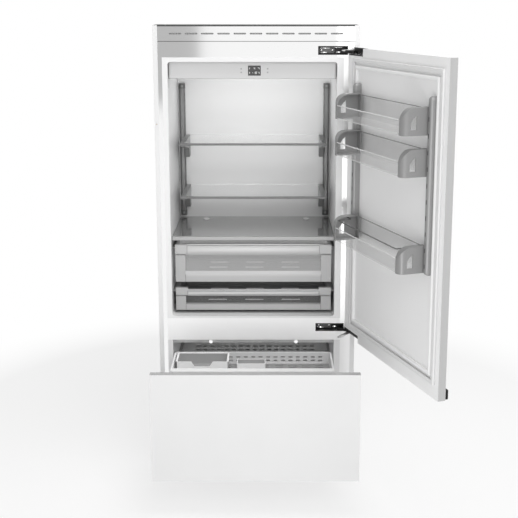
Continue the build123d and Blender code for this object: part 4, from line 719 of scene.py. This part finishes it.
# %% Machine finishes
shell_black = moulded("compressor_black", 28, roughness=0.25, tone=0.1, layers=FLOOR_DUST, Coat_Weight=0.5)
dress(shell_black, "compressor")
dress(brushed("coil_aluminium", 196, roughness=0.4, layers=FLOOR_DUST), "condenser", "evaporator")
dress(moulded("fan_black", 40, roughness=0.5, tone=0.06), "condenser_fan", "evaporator_fan")
motor_grey = moulded("motor_grey", 118, tone=0.08, Metallic=0.7)
dress(motor_grey, "condenser_fan_motor", "evaporator_fan_motor")
foam_yellow = moulded("foam_yellow", 205, roughness=0.85, tone=0.12, skin=140.0, tint=(1.0, 0.84, 0.5),
                      bump=(0.4, 0.001))
dress(foam_yellow, "insulation_foam", "door_foam", "drawer_foam")

# %% [markdown]
# ## Shelf rail caps
# Each upright ends in a darker cap held by a screw. A box would look too hard there. The cap is the
# rail's own half-round outline, a little larger, stacked in rows that shrink at both ends so that the
# edges catch the light.

# %% Shelf rail caps
RAIL_OFFSET = 352.0
RAIL_WIDTH, RAIL_DEPTH, RAIL_ROUND = 28.0, 20.0, 9.3
BACK_WALL = 510.0
RAIL_ENDS = (1090.0, 1739.0)
CAP_HEIGHT, CAP_GROW, CAP_OVERRUN = 26.0, 0.8, 2.0
CAP_BEVEL, CAP_END_SHARE = 1.2, 0.95
CAP_SCREW = (6.0, 2.2)


def half_round(width, depth, radius, steps=7):
    """A rail seen from above, as (x, depth from the wall): a wall side and two rounded front corners."""
    turn = np.linspace(0.0, math.pi / 2, steps)
    x = width / 2 - radius + radius * np.cos(turn)
    right = np.stack([x, depth - radius + radius * np.sin(turn)], axis=-1)
    left = right[::-1] * np.array([-1.0, 1.0])
    wall = np.array([[-width / 2, 0.0], [width / 2, 0.0]])
    return np.concatenate([right, left, wall])


def rail_cap(x, low):
    """Rows of (height, outline share): full size along the cap, drawn in at its two ends."""
    outline = half_round(RAIL_WIDTH + 2 * CAP_GROW, RAIL_DEPTH + CAP_GROW, RAIL_ROUND)
    rows = np.array([[0.0, CAP_END_SHARE], [CAP_BEVEL, 1.0], [CAP_HEIGHT - CAP_BEVEL, 1.0],
                     [CAP_HEIGHT, CAP_END_SHARE]])
    px = x + outline[None, :, 0] * rows[:, 1:]
    depth = BACK_WALL - outline[None, :, 1] * rows[:, 1:]
    return bar(at(px, depth, low + rows[:, :1]))


cap_parts, screw_parts = [], []
for side in (-1, 1):
    x = CENTRE + side * RAIL_OFFSET
    for low in (RAIL_ENDS[0] - CAP_OVERRUN, RAIL_ENDS[1] - CAP_HEIGHT + CAP_OVERRUN):
        cap_parts.append(rail_cap(x, low))
        face = at(x, BACK_WALL - RAIL_DEPTH - CAP_GROW, low + CAP_HEIGHT / 2)
        screw_parts.append(turned_head(face, OUTWARD, *CAP_SCREW))
cap_dark = moulded("rail_cap_grey", 104, tone=0.05)
screw_metal = brushed("screw_metal", 150)
make_piece("shelf_rail_caps", cap_parts, cap_dark, "cabinet")
make_piece("shelf_rail_screws", screw_parts, screw_metal, "cabinet")

# %% [markdown]
# ## Display and touch marks
# The dark glass shows two temperatures in bars, and four small touch marks sit beside it. They could be
# painted on, but thin plates a third of a millimetre proud stay crisp at any distance. Nothing here
# moves: the marks are printed.

# %% Display marks
DISPLAY_X, DISPLAY_FACE, DISPLAY_Z = -8.0, 32.0, 1833.0
SEGMENTS = {"top": (0, 2, 1), "middle": (0, 0, 1), "bottom": (0, -2, 1), "upper_left": (-1, 1, 0),
            "upper_right": (1, 1, 0), "lower_left": (-1, -1, 0), "lower_right": (1, -1, 0)}
DIGITS = {"4": ("upper_left", "middle", "upper_right", "lower_right"), "1": ("upper_right", "lower_right"),
          "8": tuple(SEGMENTS), "-": ("middle",)}
DIGIT_HALF, DIGIT_STEP, STROKE = 2.3, 7.6, 1.1
ROW_RISE = 9.5
TEMPERATURES = {ROW_RISE: "4", -ROW_RISE: "-18"}
SIDE_BAR_X, SIDE_BAR = 21.0, (1.6, 8.0)
DASH_X, DASH_RISE, DASH = 17.0, 3.0, (4.0, 1.2)


def digit(sign, x, z):
    """A digit from short bars: each segment sits half a width sideways or one or two up and down."""
    made = []
    for label in DIGITS[sign]:
        across, up, flat = SEGMENTS[label]
        size = (2 * DIGIT_HALF, STROKE) if flat else (STROKE, 2 * DIGIT_HALF)
        made.append(face_bar(x + across * DIGIT_HALF, DISPLAY_FACE, z + up * DIGIT_HALF, size))
    return made


marks = []
for rise, text in TEMPERATURES.items():
    row = DISPLAY_Z + rise
    for index, sign in enumerate(text):
        marks += digit(sign, DISPLAY_X + (index - (len(text) - 1) / 2) * DIGIT_STEP, row)
    for side in (-1, 1):
        marks.append(face_bar(DISPLAY_X + side * SIDE_BAR_X, DISPLAY_FACE, row, SIDE_BAR))
    marks.append(face_bar(DISPLAY_X + DASH_X, DISPLAY_FACE, row + DASH_RISE, DASH))
mark_white = moulded("mark_white", 226, Emission_Color=FULL_LIGHT, Emission_Strength=0.35)
make_piece("display_marks", marks, mark_white, "cabinet")

# %% Touch marks
TOUCH_X, TOUCH_RISE, TOUCH_SIZE = 58.0, 8.0, (7.0, 7.0)
touch = [
    face_bar(DISPLAY_X + side * TOUCH_X, DISPLAY_FACE, DISPLAY_Z + way * TOUCH_RISE, TOUCH_SIZE)
    for side in (-1, 1)
    for way in (-1, 1)
]
touch_grey = moulded("touch_mark_grey", 168, roughness=0.35)
make_piece("touch_marks", touch, touch_grey, "cabinet")

# %% [markdown]
# ## Bin edges
# Clear plastic shows mostly at its edges, where it gathers light. Real refraction would find those edges
# by itself at a high cost. Here each door bin gets a painted highlight, a bright rim along its front wall
# and front foot, and painted shade, a darker rim along its back wall, drawn as thin bars carried along the
# bin.

# %% Bin edges
BIN_LEVELS = (1647.0, 1492.0, 1122.0)
BIN_REACH = 285.0
TUBE_STEPS = 10
FRONT_RIM, FRONT_FOOT, BACK_RIM = (112.5, 56.5, 2.4), (113.2, 4.0, 1.6), (3.5, 98.0, 1.8)


def bin_edge(level, depth, rise, radius):
    """A round bar along a bin, at some depth and some rise above the bin's foot."""
    start, end = (at(CENTRE + side * BIN_REACH, depth, level + rise) for side in (-1, 1))
    return along_line(round_outline(radius, TUBE_STEPS), start, end, INWARD, UP)


bin_edges = [bin_edge(level, *edge) for level in BIN_LEVELS for edge in (FRONT_RIM, FRONT_FOOT)]
bin_lines = [bin_edge(level, *BACK_RIM) for level in BIN_LEVELS]
# Bright rims are painted highlight. Dark back rims are painted shade.
edge_painted_highlight = clear("bin_edge_painted_highlight", 236, 0.1, 0.75)
make_piece("door_bin_edges", bin_edges, edge_painted_highlight, "door", carry=door_open)
edge_painted_shade = clear("bin_edge_painted_shade", 116, 0.1, 0.85)
make_piece("door_bin_back_edges", bin_lines, edge_painted_shade, "door", carry=door_open)

# %% [markdown]
# ## Rail slots
# The bins and shelves hang from slots pressed into the uprights. Cutting them would mean changing the
# rails, so each slot is a dark rounded plate, painted shade for its hollow, with a bright pressed rim round
# it on the door, repeated at an even pitch.

# %% Door rail slots
DOOR_RAIL_OFFSET, DOOR_RAIL_FACE = 333.0, 18.0
SLOT_PITCH = 62.0
DOOR_SLOTS = np.arange(1150.0, 1770.0, SLOT_PITCH)
RIM_PLATE, SLOT_PLATE = (0.4, (8.0, 22.0), 3.9), (0.6, (5.0, 18.0), 2.4)


def door_slots(plate):
    """One plate of (rise, size, corner radius) at each slot of both rails."""
    return [
        pill(at(CENTRE + side * DOOR_RAIL_OFFSET, DOOR_RAIL_FACE, z), RIGHT, UP, INWARD, *plate)
        for side in (-1, 1)
        for z in DOOR_SLOTS
    ]


# Dark plates in the slots: painted shade for their hollows.
slot_painted_shade = moulded("slot_painted_shade", 48, roughness=0.6)
slot_dark, slot_rims = door_slots(SLOT_PLATE), door_slots(RIM_PLATE)
make_piece("door_rail_slots", slot_dark, slot_painted_shade, "door", carry=door_open)
make_piece("door_rail_slot_rims", slot_rims, upright_metal, "door", carry=door_open)

# %% Shelf rail slots
SHELF_SLOTS = np.arange(1130.0, 1710.0, SLOT_PITCH / 2)
SHELF_SLOT_IN = 7.0
SHELF_PLATE = (0.4, (4.0, 11.0), 1.9)
shelf_slots = [
    pill(at(CENTRE + side * (RAIL_OFFSET - RAIL_WIDTH / 2), BACK_WALL - SHELF_SLOT_IN, z), INWARD, UP,
         (-side, 0.0, 0.0), *SHELF_PLATE)
    for side in (-1, 1)
    for z in SHELF_SLOTS
]
make_piece("shelf_rail_slots", shelf_slots, slot_painted_shade, "cabinet")

# %% [markdown]
# ## Crisper floors
# Ribs moulded in each crisper's floor hold food out of the wet. There are three rows of three, each a
# long low plate with round ends. A bump could fake them, but they are seen through the clear front at a
# low angle.

# %% Crisper floor ribs
RIB_DEPTHS = (208.0, 301.0, 397.0)
RIB_X = (-190.0, -15.0, 160.0)
RIB_PLATE = (1.6, (88.0, 7.0), 3.4)
CRISPER_FLOORS = {"crisper_upper": 869.0, "crisper_lower": 734.0}
# The ribs give off a little light: a painted glow.
rib_glow_painted = moulded("rib_glow_painted", 248, roughness=0.3, Emission_Color=FULL_LIGHT, Emission_Strength=0.16)
for body, floor in CRISPER_FLOORS.items():
    ribs = [pill(at(x, depth, floor), RIGHT, INWARD, UP, *RIB_PLATE) for x in RIB_X for depth in RIB_DEPTHS]
    make_piece(body + "_ribs", ribs, rib_glow_painted, body)

# %% [markdown]
# ## Crisper seams
# The grip, its caps and the posts are separate mouldings, and a fine dark line shows where they meet.
# Another line lies in the groove under the grip's lip. The gaps are too fine to cut, so each is a thin
# dark plate: painted shade in the gaps and the groove.

# %% Crisper seams
CRISPER_HALF, POST_WIDTH = 358.0, 46.0
CAP_FACE, POST_FACE, GROOVE_FACE = 44.0, 50.0, 44.9
SEAM, GROOVE, LIP_DROP = 1.8, 2.0, 7.25
CAP_ENDS, BAR_ENDS, GRIP_ENDS, POST_ENDS = 12.0, 2.0, 2.0, 1.0
CRISPER_LEVELS = {
    "crisper_upper": (866.0, 995.0, 1046.0, 36.0),
    "crisper_lower": (731.0, 800.0, 830.0, 27.0),
}


def seam_lines(bottom, grip_bottom, grip_top, bar_face):
    """The groove's line, and on each side the lines beside the cap, beside the bar and above the post."""
    lines = [face_bar(CENTRE, GROOVE_FACE, grip_top - LIP_DROP, (2 * GRIP_END - GRIP_ENDS, GROOVE))]
    grip_height, grip_middle = grip_top - grip_bottom, (grip_top + grip_bottom) / 2
    for side in (-1, 1):
        cap_x = CENTRE + side * (GRIP_END + SEAM / 2)
        post_x = CENTRE + side * (CRISPER_HALF - POST_WIDTH)
        post_middle = CENTRE + side * (CRISPER_HALF - POST_WIDTH / 2)
        lines.append(face_bar(cap_x, CAP_FACE, grip_middle, (SEAM, grip_height - CAP_ENDS)))
        lines.append(face_bar(post_x, POST_FACE, bottom + bar_face / 2, (SEAM, bar_face - BAR_ENDS)))
        lines.append(face_bar(post_middle, POST_FACE, grip_bottom - SEAM, (POST_WIDTH - POST_ENDS, SEAM)))
    return lines


# Thin dark plates in the gaps and the groove: painted shade.
seam_painted_shade = moulded("seam_painted_shade", 84, roughness=0.6)
for body, levels in CRISPER_LEVELS.items():
    make_piece(body + "_seams", seam_lines(*levels), seam_painted_shade, body)

# %% [markdown]
# ## Freezer lights
# Each of the two freezer lamps shines through a small rounded window in the middle of its lens. A lamp
# could light it from behind. A thin plate that gives off light itself is simpler.

# %% Freezer lights
LIGHT_SPACING, LIGHT_FACE, LIGHT_LEVEL = 394.0, 10.0, 589.5
LIGHT_SIZE = (14.0, 8.0)
windows = [
    face_bar(CENTRE + side * LIGHT_SPACING / 2, LIGHT_FACE, LIGHT_LEVEL, LIGHT_SIZE)
    for side in (-1, 1)
]
window_light = moulded("window_light", 245, roughness=0.5, Emission_Color=FULL_LIGHT, Emission_Strength=0.9)
make_piece("freezer_light_windows", windows, window_light, "cabinet")

# %% [markdown]
# ## Grille screen
# A corrugated screen stands behind the air slots, so that no dust or finger gets in. It is a zigzag
# outline of two faces, drawn up over the slots' height. A bump on a flat sheet would leave its outline
# flat.

# %% Grille screen
SCREEN_HALF, SCREEN_FOLD, SCREEN_PITCH = 390.0, 2.5, 12.0
SCREEN_DEPTH, SCREEN_SHEET = 5.0, 0.8
SLOT_LEVEL, SCREEN_HEIGHT = 1994.0, 16.0
steps = np.arange(-SCREEN_HALF, SCREEN_HALF + 1.0, SCREEN_PITCH / 2)
folds = SCREEN_DEPTH + SCREEN_FOLD * (np.arange(len(steps)) % 2)
screen_x = np.concatenate([steps, steps[::-1]])
screen_depth = np.concatenate([folds, folds[::-1] + SCREEN_SHEET])
screen_z = np.array([[SLOT_LEVEL - SCREEN_HEIGHT / 2], [SLOT_LEVEL + SCREEN_HEIGHT / 2]])
screen = bar(at(screen_x[None], screen_depth[None], screen_z))
screen_grey = moulded("screen_grey", 186, roughness=0.45)
make_piece("grille_screen", [screen], screen_grey, "cabinet")

# %% [markdown]
# ## Glass stops
# Two small clear rings sit on the crisper cover near the back wall and keep things from sliding into it.
# Each is a circle carried round a larger circle. Blender's own torus would do as well. The formula keeps
# the ring's place in its mesh, as for every other piece.

# %% Glass stops
STOP_X = (-254.0, 238.0)
STOP_DEPTH, COVER_TOP = 439.0, 1078.0
STOP_RADIUS, STOP_TUBE = 13.0, 3.2
STOP_SEAT = 0.8 * STOP_TUBE
STOP_STEPS = 28


def lying_ring(x, depth, z):
    """A torus lying flat: the tube's outline moves out from the centre and up from the face."""
    tube = round_outline(STOP_TUBE, TUBE_STEPS)
    turn = np.linspace(0.0, 2 * math.pi, STOP_STEPS, endpoint=False)[:, None]
    reach = STOP_RADIUS + tube[None, :, 0]
    rise = STOP_SEAT + tube[None, :, 1]
    return ring(at(x + reach * np.cos(turn), depth + reach * np.sin(turn), z + rise))


stops = [lying_ring(x, STOP_DEPTH, COVER_TOP) for x in STOP_X]
stop_clear = clear("stop_clear", 244, 0.08, 0.8, tone=0.02)
make_piece("glass_stops", stops, stop_clear, "cabinet")

# %% [markdown]
# ## Hinge details
# The hinge boxes and the cups in the door are each held by screws. An adjuster plate lies in each box,
# and bright bars on it, beside it and in the cup set the door's height and gap. They only show as glints
# in the black, so plates and turned heads are enough.

# %% Hinge boxes
BOX_FLOOR = 38.0
HINGE_MIDDLES = (1922.0, 663.0)
PLATE_X, PLATE_RISE, PLATE_SIZE, PLATE_ROUND, PLATE_SOFT = 310.0, 6.0, (68.0, 26.0), 4.0, 0.2
PLATE_SCREWS_X, PLATE_SCREW = (286.0, 334.0), (6.5, 3.0)
PLATE_BARS = ((300.0, 9.0, 44.0, 3.0), (296.0, -10.0, 30.0, 4.0))
FLOOR_BARS = ((352.0, 12.0, 52.0, 2.5), (362.0, -9.0, 26.0, 5.0))
BOX_BAR_RISE = 1.2
PLATE_FACE = BOX_FLOOR - PLATE_RISE
plates, box_screws, box_bars = [], [], []
for middle in HINGE_MIDDLES:
    seat = at(PLATE_X, BOX_FLOOR, middle)
    plates.append(pill(seat, RIGHT, UP, OUTWARD, PLATE_RISE, PLATE_SIZE, PLATE_ROUND, soft=PLATE_SOFT))
    box_screws += [turned_head(at(x, PLATE_FACE, middle), OUTWARD, *PLATE_SCREW) for x in PLATE_SCREWS_X]
    for face, bars in ((PLATE_FACE, PLATE_BARS), (BOX_FLOOR, FLOOR_BARS)):
        for x, up, width, height in bars:
            box_bars.append(face_bar(x, face, middle + up, (width, height), rise=BOX_BAR_RISE))
hinge_plate = brushed("hinge_plate", 96, roughness=0.32)
make_piece("hinge_adjuster_plates", plates, hinge_plate, "cabinet")
make_piece("hinge_box_screws", box_screws, chrome, "cabinet")
make_piece("hinge_box_bars", box_bars, chrome, "cabinet")

# %% Hinge cups
CUP_SEATS = ((1903.0, 1), (668.0, -1))
CUP_FACE, CUP_BAR_RISE = -36.0, 1.0
CUP_BARS = ((340.0, 12.0, 36.0, 3.5), (372.0, 8.0, 14.0, 8.0), (396.0, 14.0, 18.0, 4.0))
CUP_SCREWS_X, CUP_SCREW = (318.0, 352.0, 386.0), (5.5, 2.6)
CUP_SCREW_DEPTH, CUP_SCREW_RISE = -21.0, 5.0
cup_bars, cup_screws = [], []
for seat, way in CUP_SEATS:
    for x, up, width, height in CUP_BARS:
        cup_bars.append(face_bar(x, CUP_FACE, seat + way * up, (width, height), CUP_BAR_RISE, INWARD))
    for x in CUP_SCREWS_X:
        foot = at(x, CUP_SCREW_DEPTH, seat + way * CUP_SCREW_RISE)
        cup_screws.append(turned_head(foot, (0.0, 0.0, way), *CUP_SCREW))
make_piece("hinge_cup_bars", cup_bars, chrome, "door", carry=door_open)
make_piece("hinge_cup_screws", cup_screws, screw_metal, "door", carry=door_open)

# %% [markdown]
# ## Gaskets
# A door seal is a soft hollow bellows with a flat magnet strip on top. A swept curve would round its
# corners, but a real seal is welded from straight lengths. So its profile is carried round the mouth as a
# ring, mitred at the corners by moving each profile point in or out from the frame's outline.

# %% Gaskets
SEAL_SIDE = np.array([
    [8.0, 0.3], [8.0, 2.2], [5.2, 3.0], [5.2, 4.6], [7.6, 5.6], [8.4, 7.6], [8.0, 10.0], [6.6, 11.2],
])
SEAL_PROFILE = np.concatenate([SEAL_SIDE, SEAL_SIDE[::-1] * np.array([-1.0, 1.0])])
SEAL_FACE = -12.0
MOUTH_X = (-388.0, 355.0)
SEAL_OUT = 13.5
MOUTHS = {"door": (715.0, 1873.0), "drawer": (190.0, 602.0)}
CARRIERS = {"door": door_open, "drawer": drawer_open}


def seal_ring(low, high):
    """A profile point's first value moves it out from the frame's middle line, its second lifts it."""
    corners = np.array([[-1, -1], [1, -1], [1, 1], [-1, 1]], float)
    centre = np.array([sum(MOUTH_X) / 2, (low + high) / 2])
    half = np.array([(MOUTH_X[1] - MOUTH_X[0]) / 2 + SEAL_OUT, (high - low) / 2 + SEAL_OUT])
    flat = centre + corners[:, None, :] * (half + SEAL_PROFILE[None, :, :1])
    return ring(at(flat[..., 0], SEAL_FACE + SEAL_PROFILE[None, :, 1], flat[..., 1]))


for body, mouth in MOUTHS.items():
    rings = [seal_ring(*mouth)]
    seal = make_piece(body + "_seal", rings, gasket_rubber, body, carry=CARRIERS[body])
    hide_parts(body + "_gasket")

# %% [markdown]
# ## Edge strips
# The painted skin ends in a pale grey strip along the door's free edge and the drawer's top edge. Each
# strip is a plate with softened corners, less than half a millimetre proud.

# %% Edge strips
PANEL_HALF = 435.0
PANEL_MIDDLE, PANEL_THICK = -28.5, 33.0
DOOR_LEVELS = (635.0, 1936.0)
DRAWER_TOP = 631.0
STRIP_RISE, STRIP_INSET, STRIP_ROUND = 0.4, 1.0, 1.5
STRIP_WIDTH = PANEL_THICK - STRIP_INSET
edge_grey = moulded("edge_strip_grey", 178, roughness=0.42, tone=0.02)
door_strip = pill(
    at(-PANEL_HALF, PANEL_MIDDLE, sum(DOOR_LEVELS) / 2), INWARD, UP, (-1.0, 0.0, 0.0), STRIP_RISE,
    (STRIP_WIDTH, DOOR_LEVELS[1] - DOOR_LEVELS[0] - STRIP_INSET), STRIP_ROUND,
)
make_piece("door_edge_strip", [door_strip], edge_grey, "door", carry=door_open)
drawer_strip = pill(
    at(0.0, PANEL_MIDDLE, DRAWER_TOP), RIGHT, INWARD, UP, STRIP_RISE,
    (2 * PANEL_HALF - STRIP_INSET, STRIP_WIDTH), STRIP_ROUND,
)
make_piece("drawer_edge_strip", [drawer_strip], edge_grey, "drawer", carry=drawer_open)

# %% [markdown]
# ## Block pad
# The black block low on the door's outer face ends in a soft pad, which keeps the door from knocking on a
# wall. It could be part of the block. As a rounded plate on it, it leaves the block's own mesh alone.

# %% Block pad
BLOCK_X, BLOCK_FACE, BLOCK_Z = -418.0, -52.5, 657.0
PAD_RISE, PAD_SIZE, PAD_ROUND, PAD_SOFT = 5.5, (30.0, 40.0), 4.0, 0.25
block_end = at(BLOCK_X, BLOCK_FACE, BLOCK_Z)
pad = pill(block_end, RIGHT, UP, OUTWARD, PAD_RISE, PAD_SIZE, PAD_ROUND, soft=PAD_SOFT)
make_piece("door_block_pad", [pad], block_rubber, "door", carry=door_open)

# %% [markdown]
# ## Ice bin rim
# The ice bin is folded outwards along its back and sides, which stiffens its thin walls. The rim is three
# flat bars with softened edges that lie on the walls, which is simpler than a sweep with two corners.

# %% Ice bin rim
RIM_WIDTH, RIM_RISE, RIM_ROUND = 9.0, 1.6, 2.0
BIN_WIDTH, BIN_DEPTH, BIN_WALL = 230.0, 115.0, 3.0
bin_left, bin_back, bin_top = box_low[0], box_high[1], box_high[2]


def rim_bar(x, y, size):
    """A flat bar on the bin's top edge."""
    return pill((x, y, bin_top), RIGHT, INWARD, UP, RIM_RISE, size, RIM_ROUND)


rims = [
    rim_bar(x, bin_back - BIN_DEPTH / 2, (RIM_WIDTH, BIN_DEPTH))
    for x in (bin_left + BIN_WALL / 2, bin_left + BIN_WIDTH - BIN_WALL / 2)
]
back_size = (BIN_WIDTH + RIM_WIDTH - BIN_WALL, RIM_WIDTH)
rims.append(rim_bar(bin_left + BIN_WIDTH / 2, bin_back - BIN_WALL / 2, back_size))
make_piece("ice_bin_rim", rims, moulded("rim_white", 246, tone=0.02), "drawer")

# %% [markdown]
# ## Back and top fasteners
# Screws hold the back sheet and the top cover, and the back sheet has long pressed beads that keep it
# from drumming. The beads are plates with very soft edges, as a press leaves them.

# %% Back beads
BACK = 600.0
BEAD_X = np.linspace(-330.0, 330.0, 5)
BEAD_MIDDLE, BEAD_RISE, BEAD_SIZE, BEAD_ROUND, BEAD_SOFT = 1160.0, 2.0, (26.0, 1500.0), 12.5, 0.6
beads = [
    pill(at(x, BACK, BEAD_MIDDLE), RIGHT, UP, INWARD, BEAD_RISE, BEAD_SIZE, BEAD_ROUND, soft=BEAD_SOFT)
    for x in BEAD_X
]
make_piece("back_beads", beads, zinc, "cabinet")

# %% Sheet screws
SHEET_SCREW = (5.0, 2.2)
BACK_SCREWS_X, BACK_SCREWS_Z = (-436.0, 436.0), np.linspace(60.0, 1965.0, 9)
TOP_SCREWS_X, TOP_SCREW_DEPTH, TOP = np.linspace(-400.0, 400.0, 5), 60.0, 2030.0
sheet_screws = [
    turned_head(at(x, BACK, z), INWARD, *SHEET_SCREW)
    for x in BACK_SCREWS_X
    for z in BACK_SCREWS_Z
]
sheet_screws += [turned_head(at(x, TOP_SCREW_DEPTH, TOP), UP, *SHEET_SCREW) for x in TOP_SCREWS_X]
make_piece("sheet_screws", sheet_screws, screw_metal, "cabinet")

# %% [markdown]
# ## Studio
# A pale floor that fades into a white room, broad soft light, and the cabinet's own lamps. More light
# would make the background white but would wash out the cabinet too. So the floor turns to plain light
# away from the cabinet, and near it glows in part for the camera alone, which leaves a soft shadow. Sizes
# from here on are in metres.

# %% Floor
FLOOR_REACH, FLOOR_MIDDLE, FLOOR_DROP = 9.0, -0.4, 0.001
FLOOR_RINGS, FLOOR_SPOKES, FLOOR_HUB = 24, 64, 0.02
FLOOR_GLOW = 0.68
FADE = (0.7, 2.2)
reach = np.linspace(FLOOR_HUB, FLOOR_REACH, FLOOR_RINGS)[:, None]
turn = np.linspace(0.0, 2 * math.pi, FLOOR_SPOKES, endpoint=False)
flat_z = np.full((FLOOR_RINGS, FLOOR_SPOKES), -FLOOR_DROP)
disc = np.stack([reach * np.cos(turn), reach * np.sin(turn) + FLOOR_MIDDLE, flat_z], axis=-1)
floor_faces = grid_faces(FLOOR_RINGS, FLOOR_SPOKES) + [list(range(FLOOR_SPOKES))[::-1]]
floor_mesh = bpy.data.meshes.new("studio_floor")
floor_mesh.from_pydata(disc.reshape(-1, 3).tolist(), [], floor_faces)
studio_floor = bpy.data.objects.new("studio_floor", floor_mesh)
bpy.context.scene.collection.objects.link(studio_floor)
print("floor reaches", FLOOR_REACH, "m")

# %% Floor paint
FLOOR_TONE, FLOOR_ROUGHNESS = 0.93, 0.9
floor_paint = bpy.data.materials.new("floor_paint")
floor_paint.use_nodes = True
tree = floor_paint.node_tree
shader = tree.nodes["Principled BSDF"]
shader.inputs["Base Color"].default_value = even(FLOOR_TONE)
shader.inputs["Roughness"].default_value = FLOOR_ROUGHNESS
glow = tree.nodes.new("ShaderNodeEmission")
path = tree.nodes.new("ShaderNodeLightPath")
mix = tree.nodes.new("ShaderNodeMixShader")
length = tree.nodes.new("ShaderNodeVectorMath")
length.operation = "LENGTH"
tree.links.new(object_place(tree), length.inputs[0])
fade = map_range(tree, length.outputs["Value"], FADE, (0.0, 1.0), smooth=True)
seen = math_node(tree, "MULTIPLY", path.outputs["Is Camera Ray"], FLOOR_GLOW)
tree.links.new(math_node(tree, "MAXIMUM", fade, seen), mix.inputs[0])
tree.links.new(shader.outputs[0], mix.inputs[1])
tree.links.new(glow.outputs[0], mix.inputs[2])
tree.links.new(mix.outputs[0], tree.nodes["Material Output"].inputs["Surface"])
floor_mesh.materials.append(floor_paint)
print("floor glows by", FLOOR_GLOW, "to the camera")

# %% [markdown]
# ### The room
# The steel fascia shows what stands in front of it: a bright room with a grey card on the left, whose
# edge runs down the steel as a sharp line. The card ends a little below the horizon, so that the steel
# lower down stays bright. It lives in the world, where only mirrored rays meet it, so it needs no object
# and throws no shadow.

# %% White room
AMBIENT = 0.5
CARD_TONE = 0.52
CARD_EDGE = (-0.074, -0.064)
CARD_FOOT = (-0.11, -0.07)
world = bpy.data.worlds.new("white_room")
bpy.context.scene.world = world
world.use_nodes = True
tree = world.node_tree
backdrop = tree.nodes["Background"]
path = tree.nodes.new("ShaderNodeLightPath")
split = tree.nodes.new("ShaderNodeSeparateXYZ")
tree.links.new(tree.nodes.new("ShaderNodeTexCoord").outputs["Generated"], split.inputs[0])
card = map_range(tree, split.outputs["X"], CARD_EDGE, (CARD_TONE, 1.0), smooth=True)
below = map_range(tree, split.outputs["Z"], CARD_FOOT, (1.0, 0.0), smooth=True)
seen = math_node(tree, "MAXIMUM", path.outputs["Is Camera Ray"], path.outputs["Is Transmission Ray"])
shown = math_node(tree, "MAXIMUM", card, below)
mirrored = math_node(tree, "MULTIPLY", path.outputs["Is Glossy Ray"], shown)
strength = math_node(tree, "MAXIMUM", math_node(tree, "MAXIMUM", seen, mirrored), AMBIENT)
tree.links.new(strength, backdrop.inputs["Strength"])
backdrop.inputs["Color"].default_value = FULL_LIGHT
print("room light", AMBIENT)

# %% [markdown]
# ### Lamps
# A large box of light from the front right, one from above, and a small fill low in front that reaches
# under the open door. Two narrow lamps stand for the cabinet's own. Each is given by its place, the point
# that it looks at, its size and its power.

# %% Lamps
MOUTH_MIDDLE = CENTRE * MM
LAMPS = {
    "front_softbox": ((1.2, -4.6, 3.4), (0.0, -0.4, 0.9), (3.0, 2.0), 62.0),
    "low_fill": ((-0.1, -3.6, 0.5), (0.0, -0.3, 0.75), (0.9, 0.6), 17.0),
    "top_softbox": ((0.9, -1.1, 4.4), (0.0, -0.5, 0.5), (2.4, 2.0), 66.0),
    "fridge_lamp": ((MOUTH_MIDDLE, -0.09, 1.855), (MOUTH_MIDDLE, 0.12, 1.2), (0.5, 0.05), 0.78),
    "freezer_lamp": ((MOUTH_MIDDLE, -0.262, 0.575), (MOUTH_MIDDLE, -0.2, 0.2), (0.4, 0.01), 0.2),
}


def area_lamp(name, place, aim, size, power):
    """A rectangular soft light at a place, turned to an aim point. All in metres and watts."""
    light = bpy.data.lights.new(name, "AREA")
    light.shape = "RECTANGLE"
    light.size, light.size_y = size
    light.energy = power
    lamp = bpy.data.objects.new(name, light)
    bpy.context.scene.collection.objects.link(lamp)
    lamp.location = place
    direction = Vector(aim) - Vector(place)
    lamp.rotation_euler = direction.to_track_quat("-Z", "Y").to_euler()


for name, settings in LAMPS.items():
    area_lamp(name, *settings)
print("lamps", ", ".join(LAMPS))

# %% [markdown]
# ### Camera
# The camera stands a little above the cabinet's top and looks down at it. A level camera with a large
# shift would keep the uprights parallel. A small shift and a tilt keep the whole object in view from
# other sides too.

# %% Camera
LENS = 71.0
LOOK_DOWN = math.radians(12.27)
SHIFT = (-0.0236, -0.07)
EYE = (0.066, -4.80, 2.134)
camera_data = bpy.data.cameras.new("photo_camera")
camera = bpy.data.objects.new("photo_camera", camera_data)
bpy.context.scene.collection.objects.link(camera)
bpy.context.scene.camera = camera
camera_data.lens = LENS
camera_data.shift_x, camera_data.shift_y = SHIFT
camera.location = EYE
camera.rotation_euler = (math.pi / 2 - LOOK_DOWN, 0.0, 0.0)
bpy.context.scene.view_settings.view_transform = "Standard"
print("camera looks down", round(math.degrees(LOOK_DOWN), 1), "degrees")
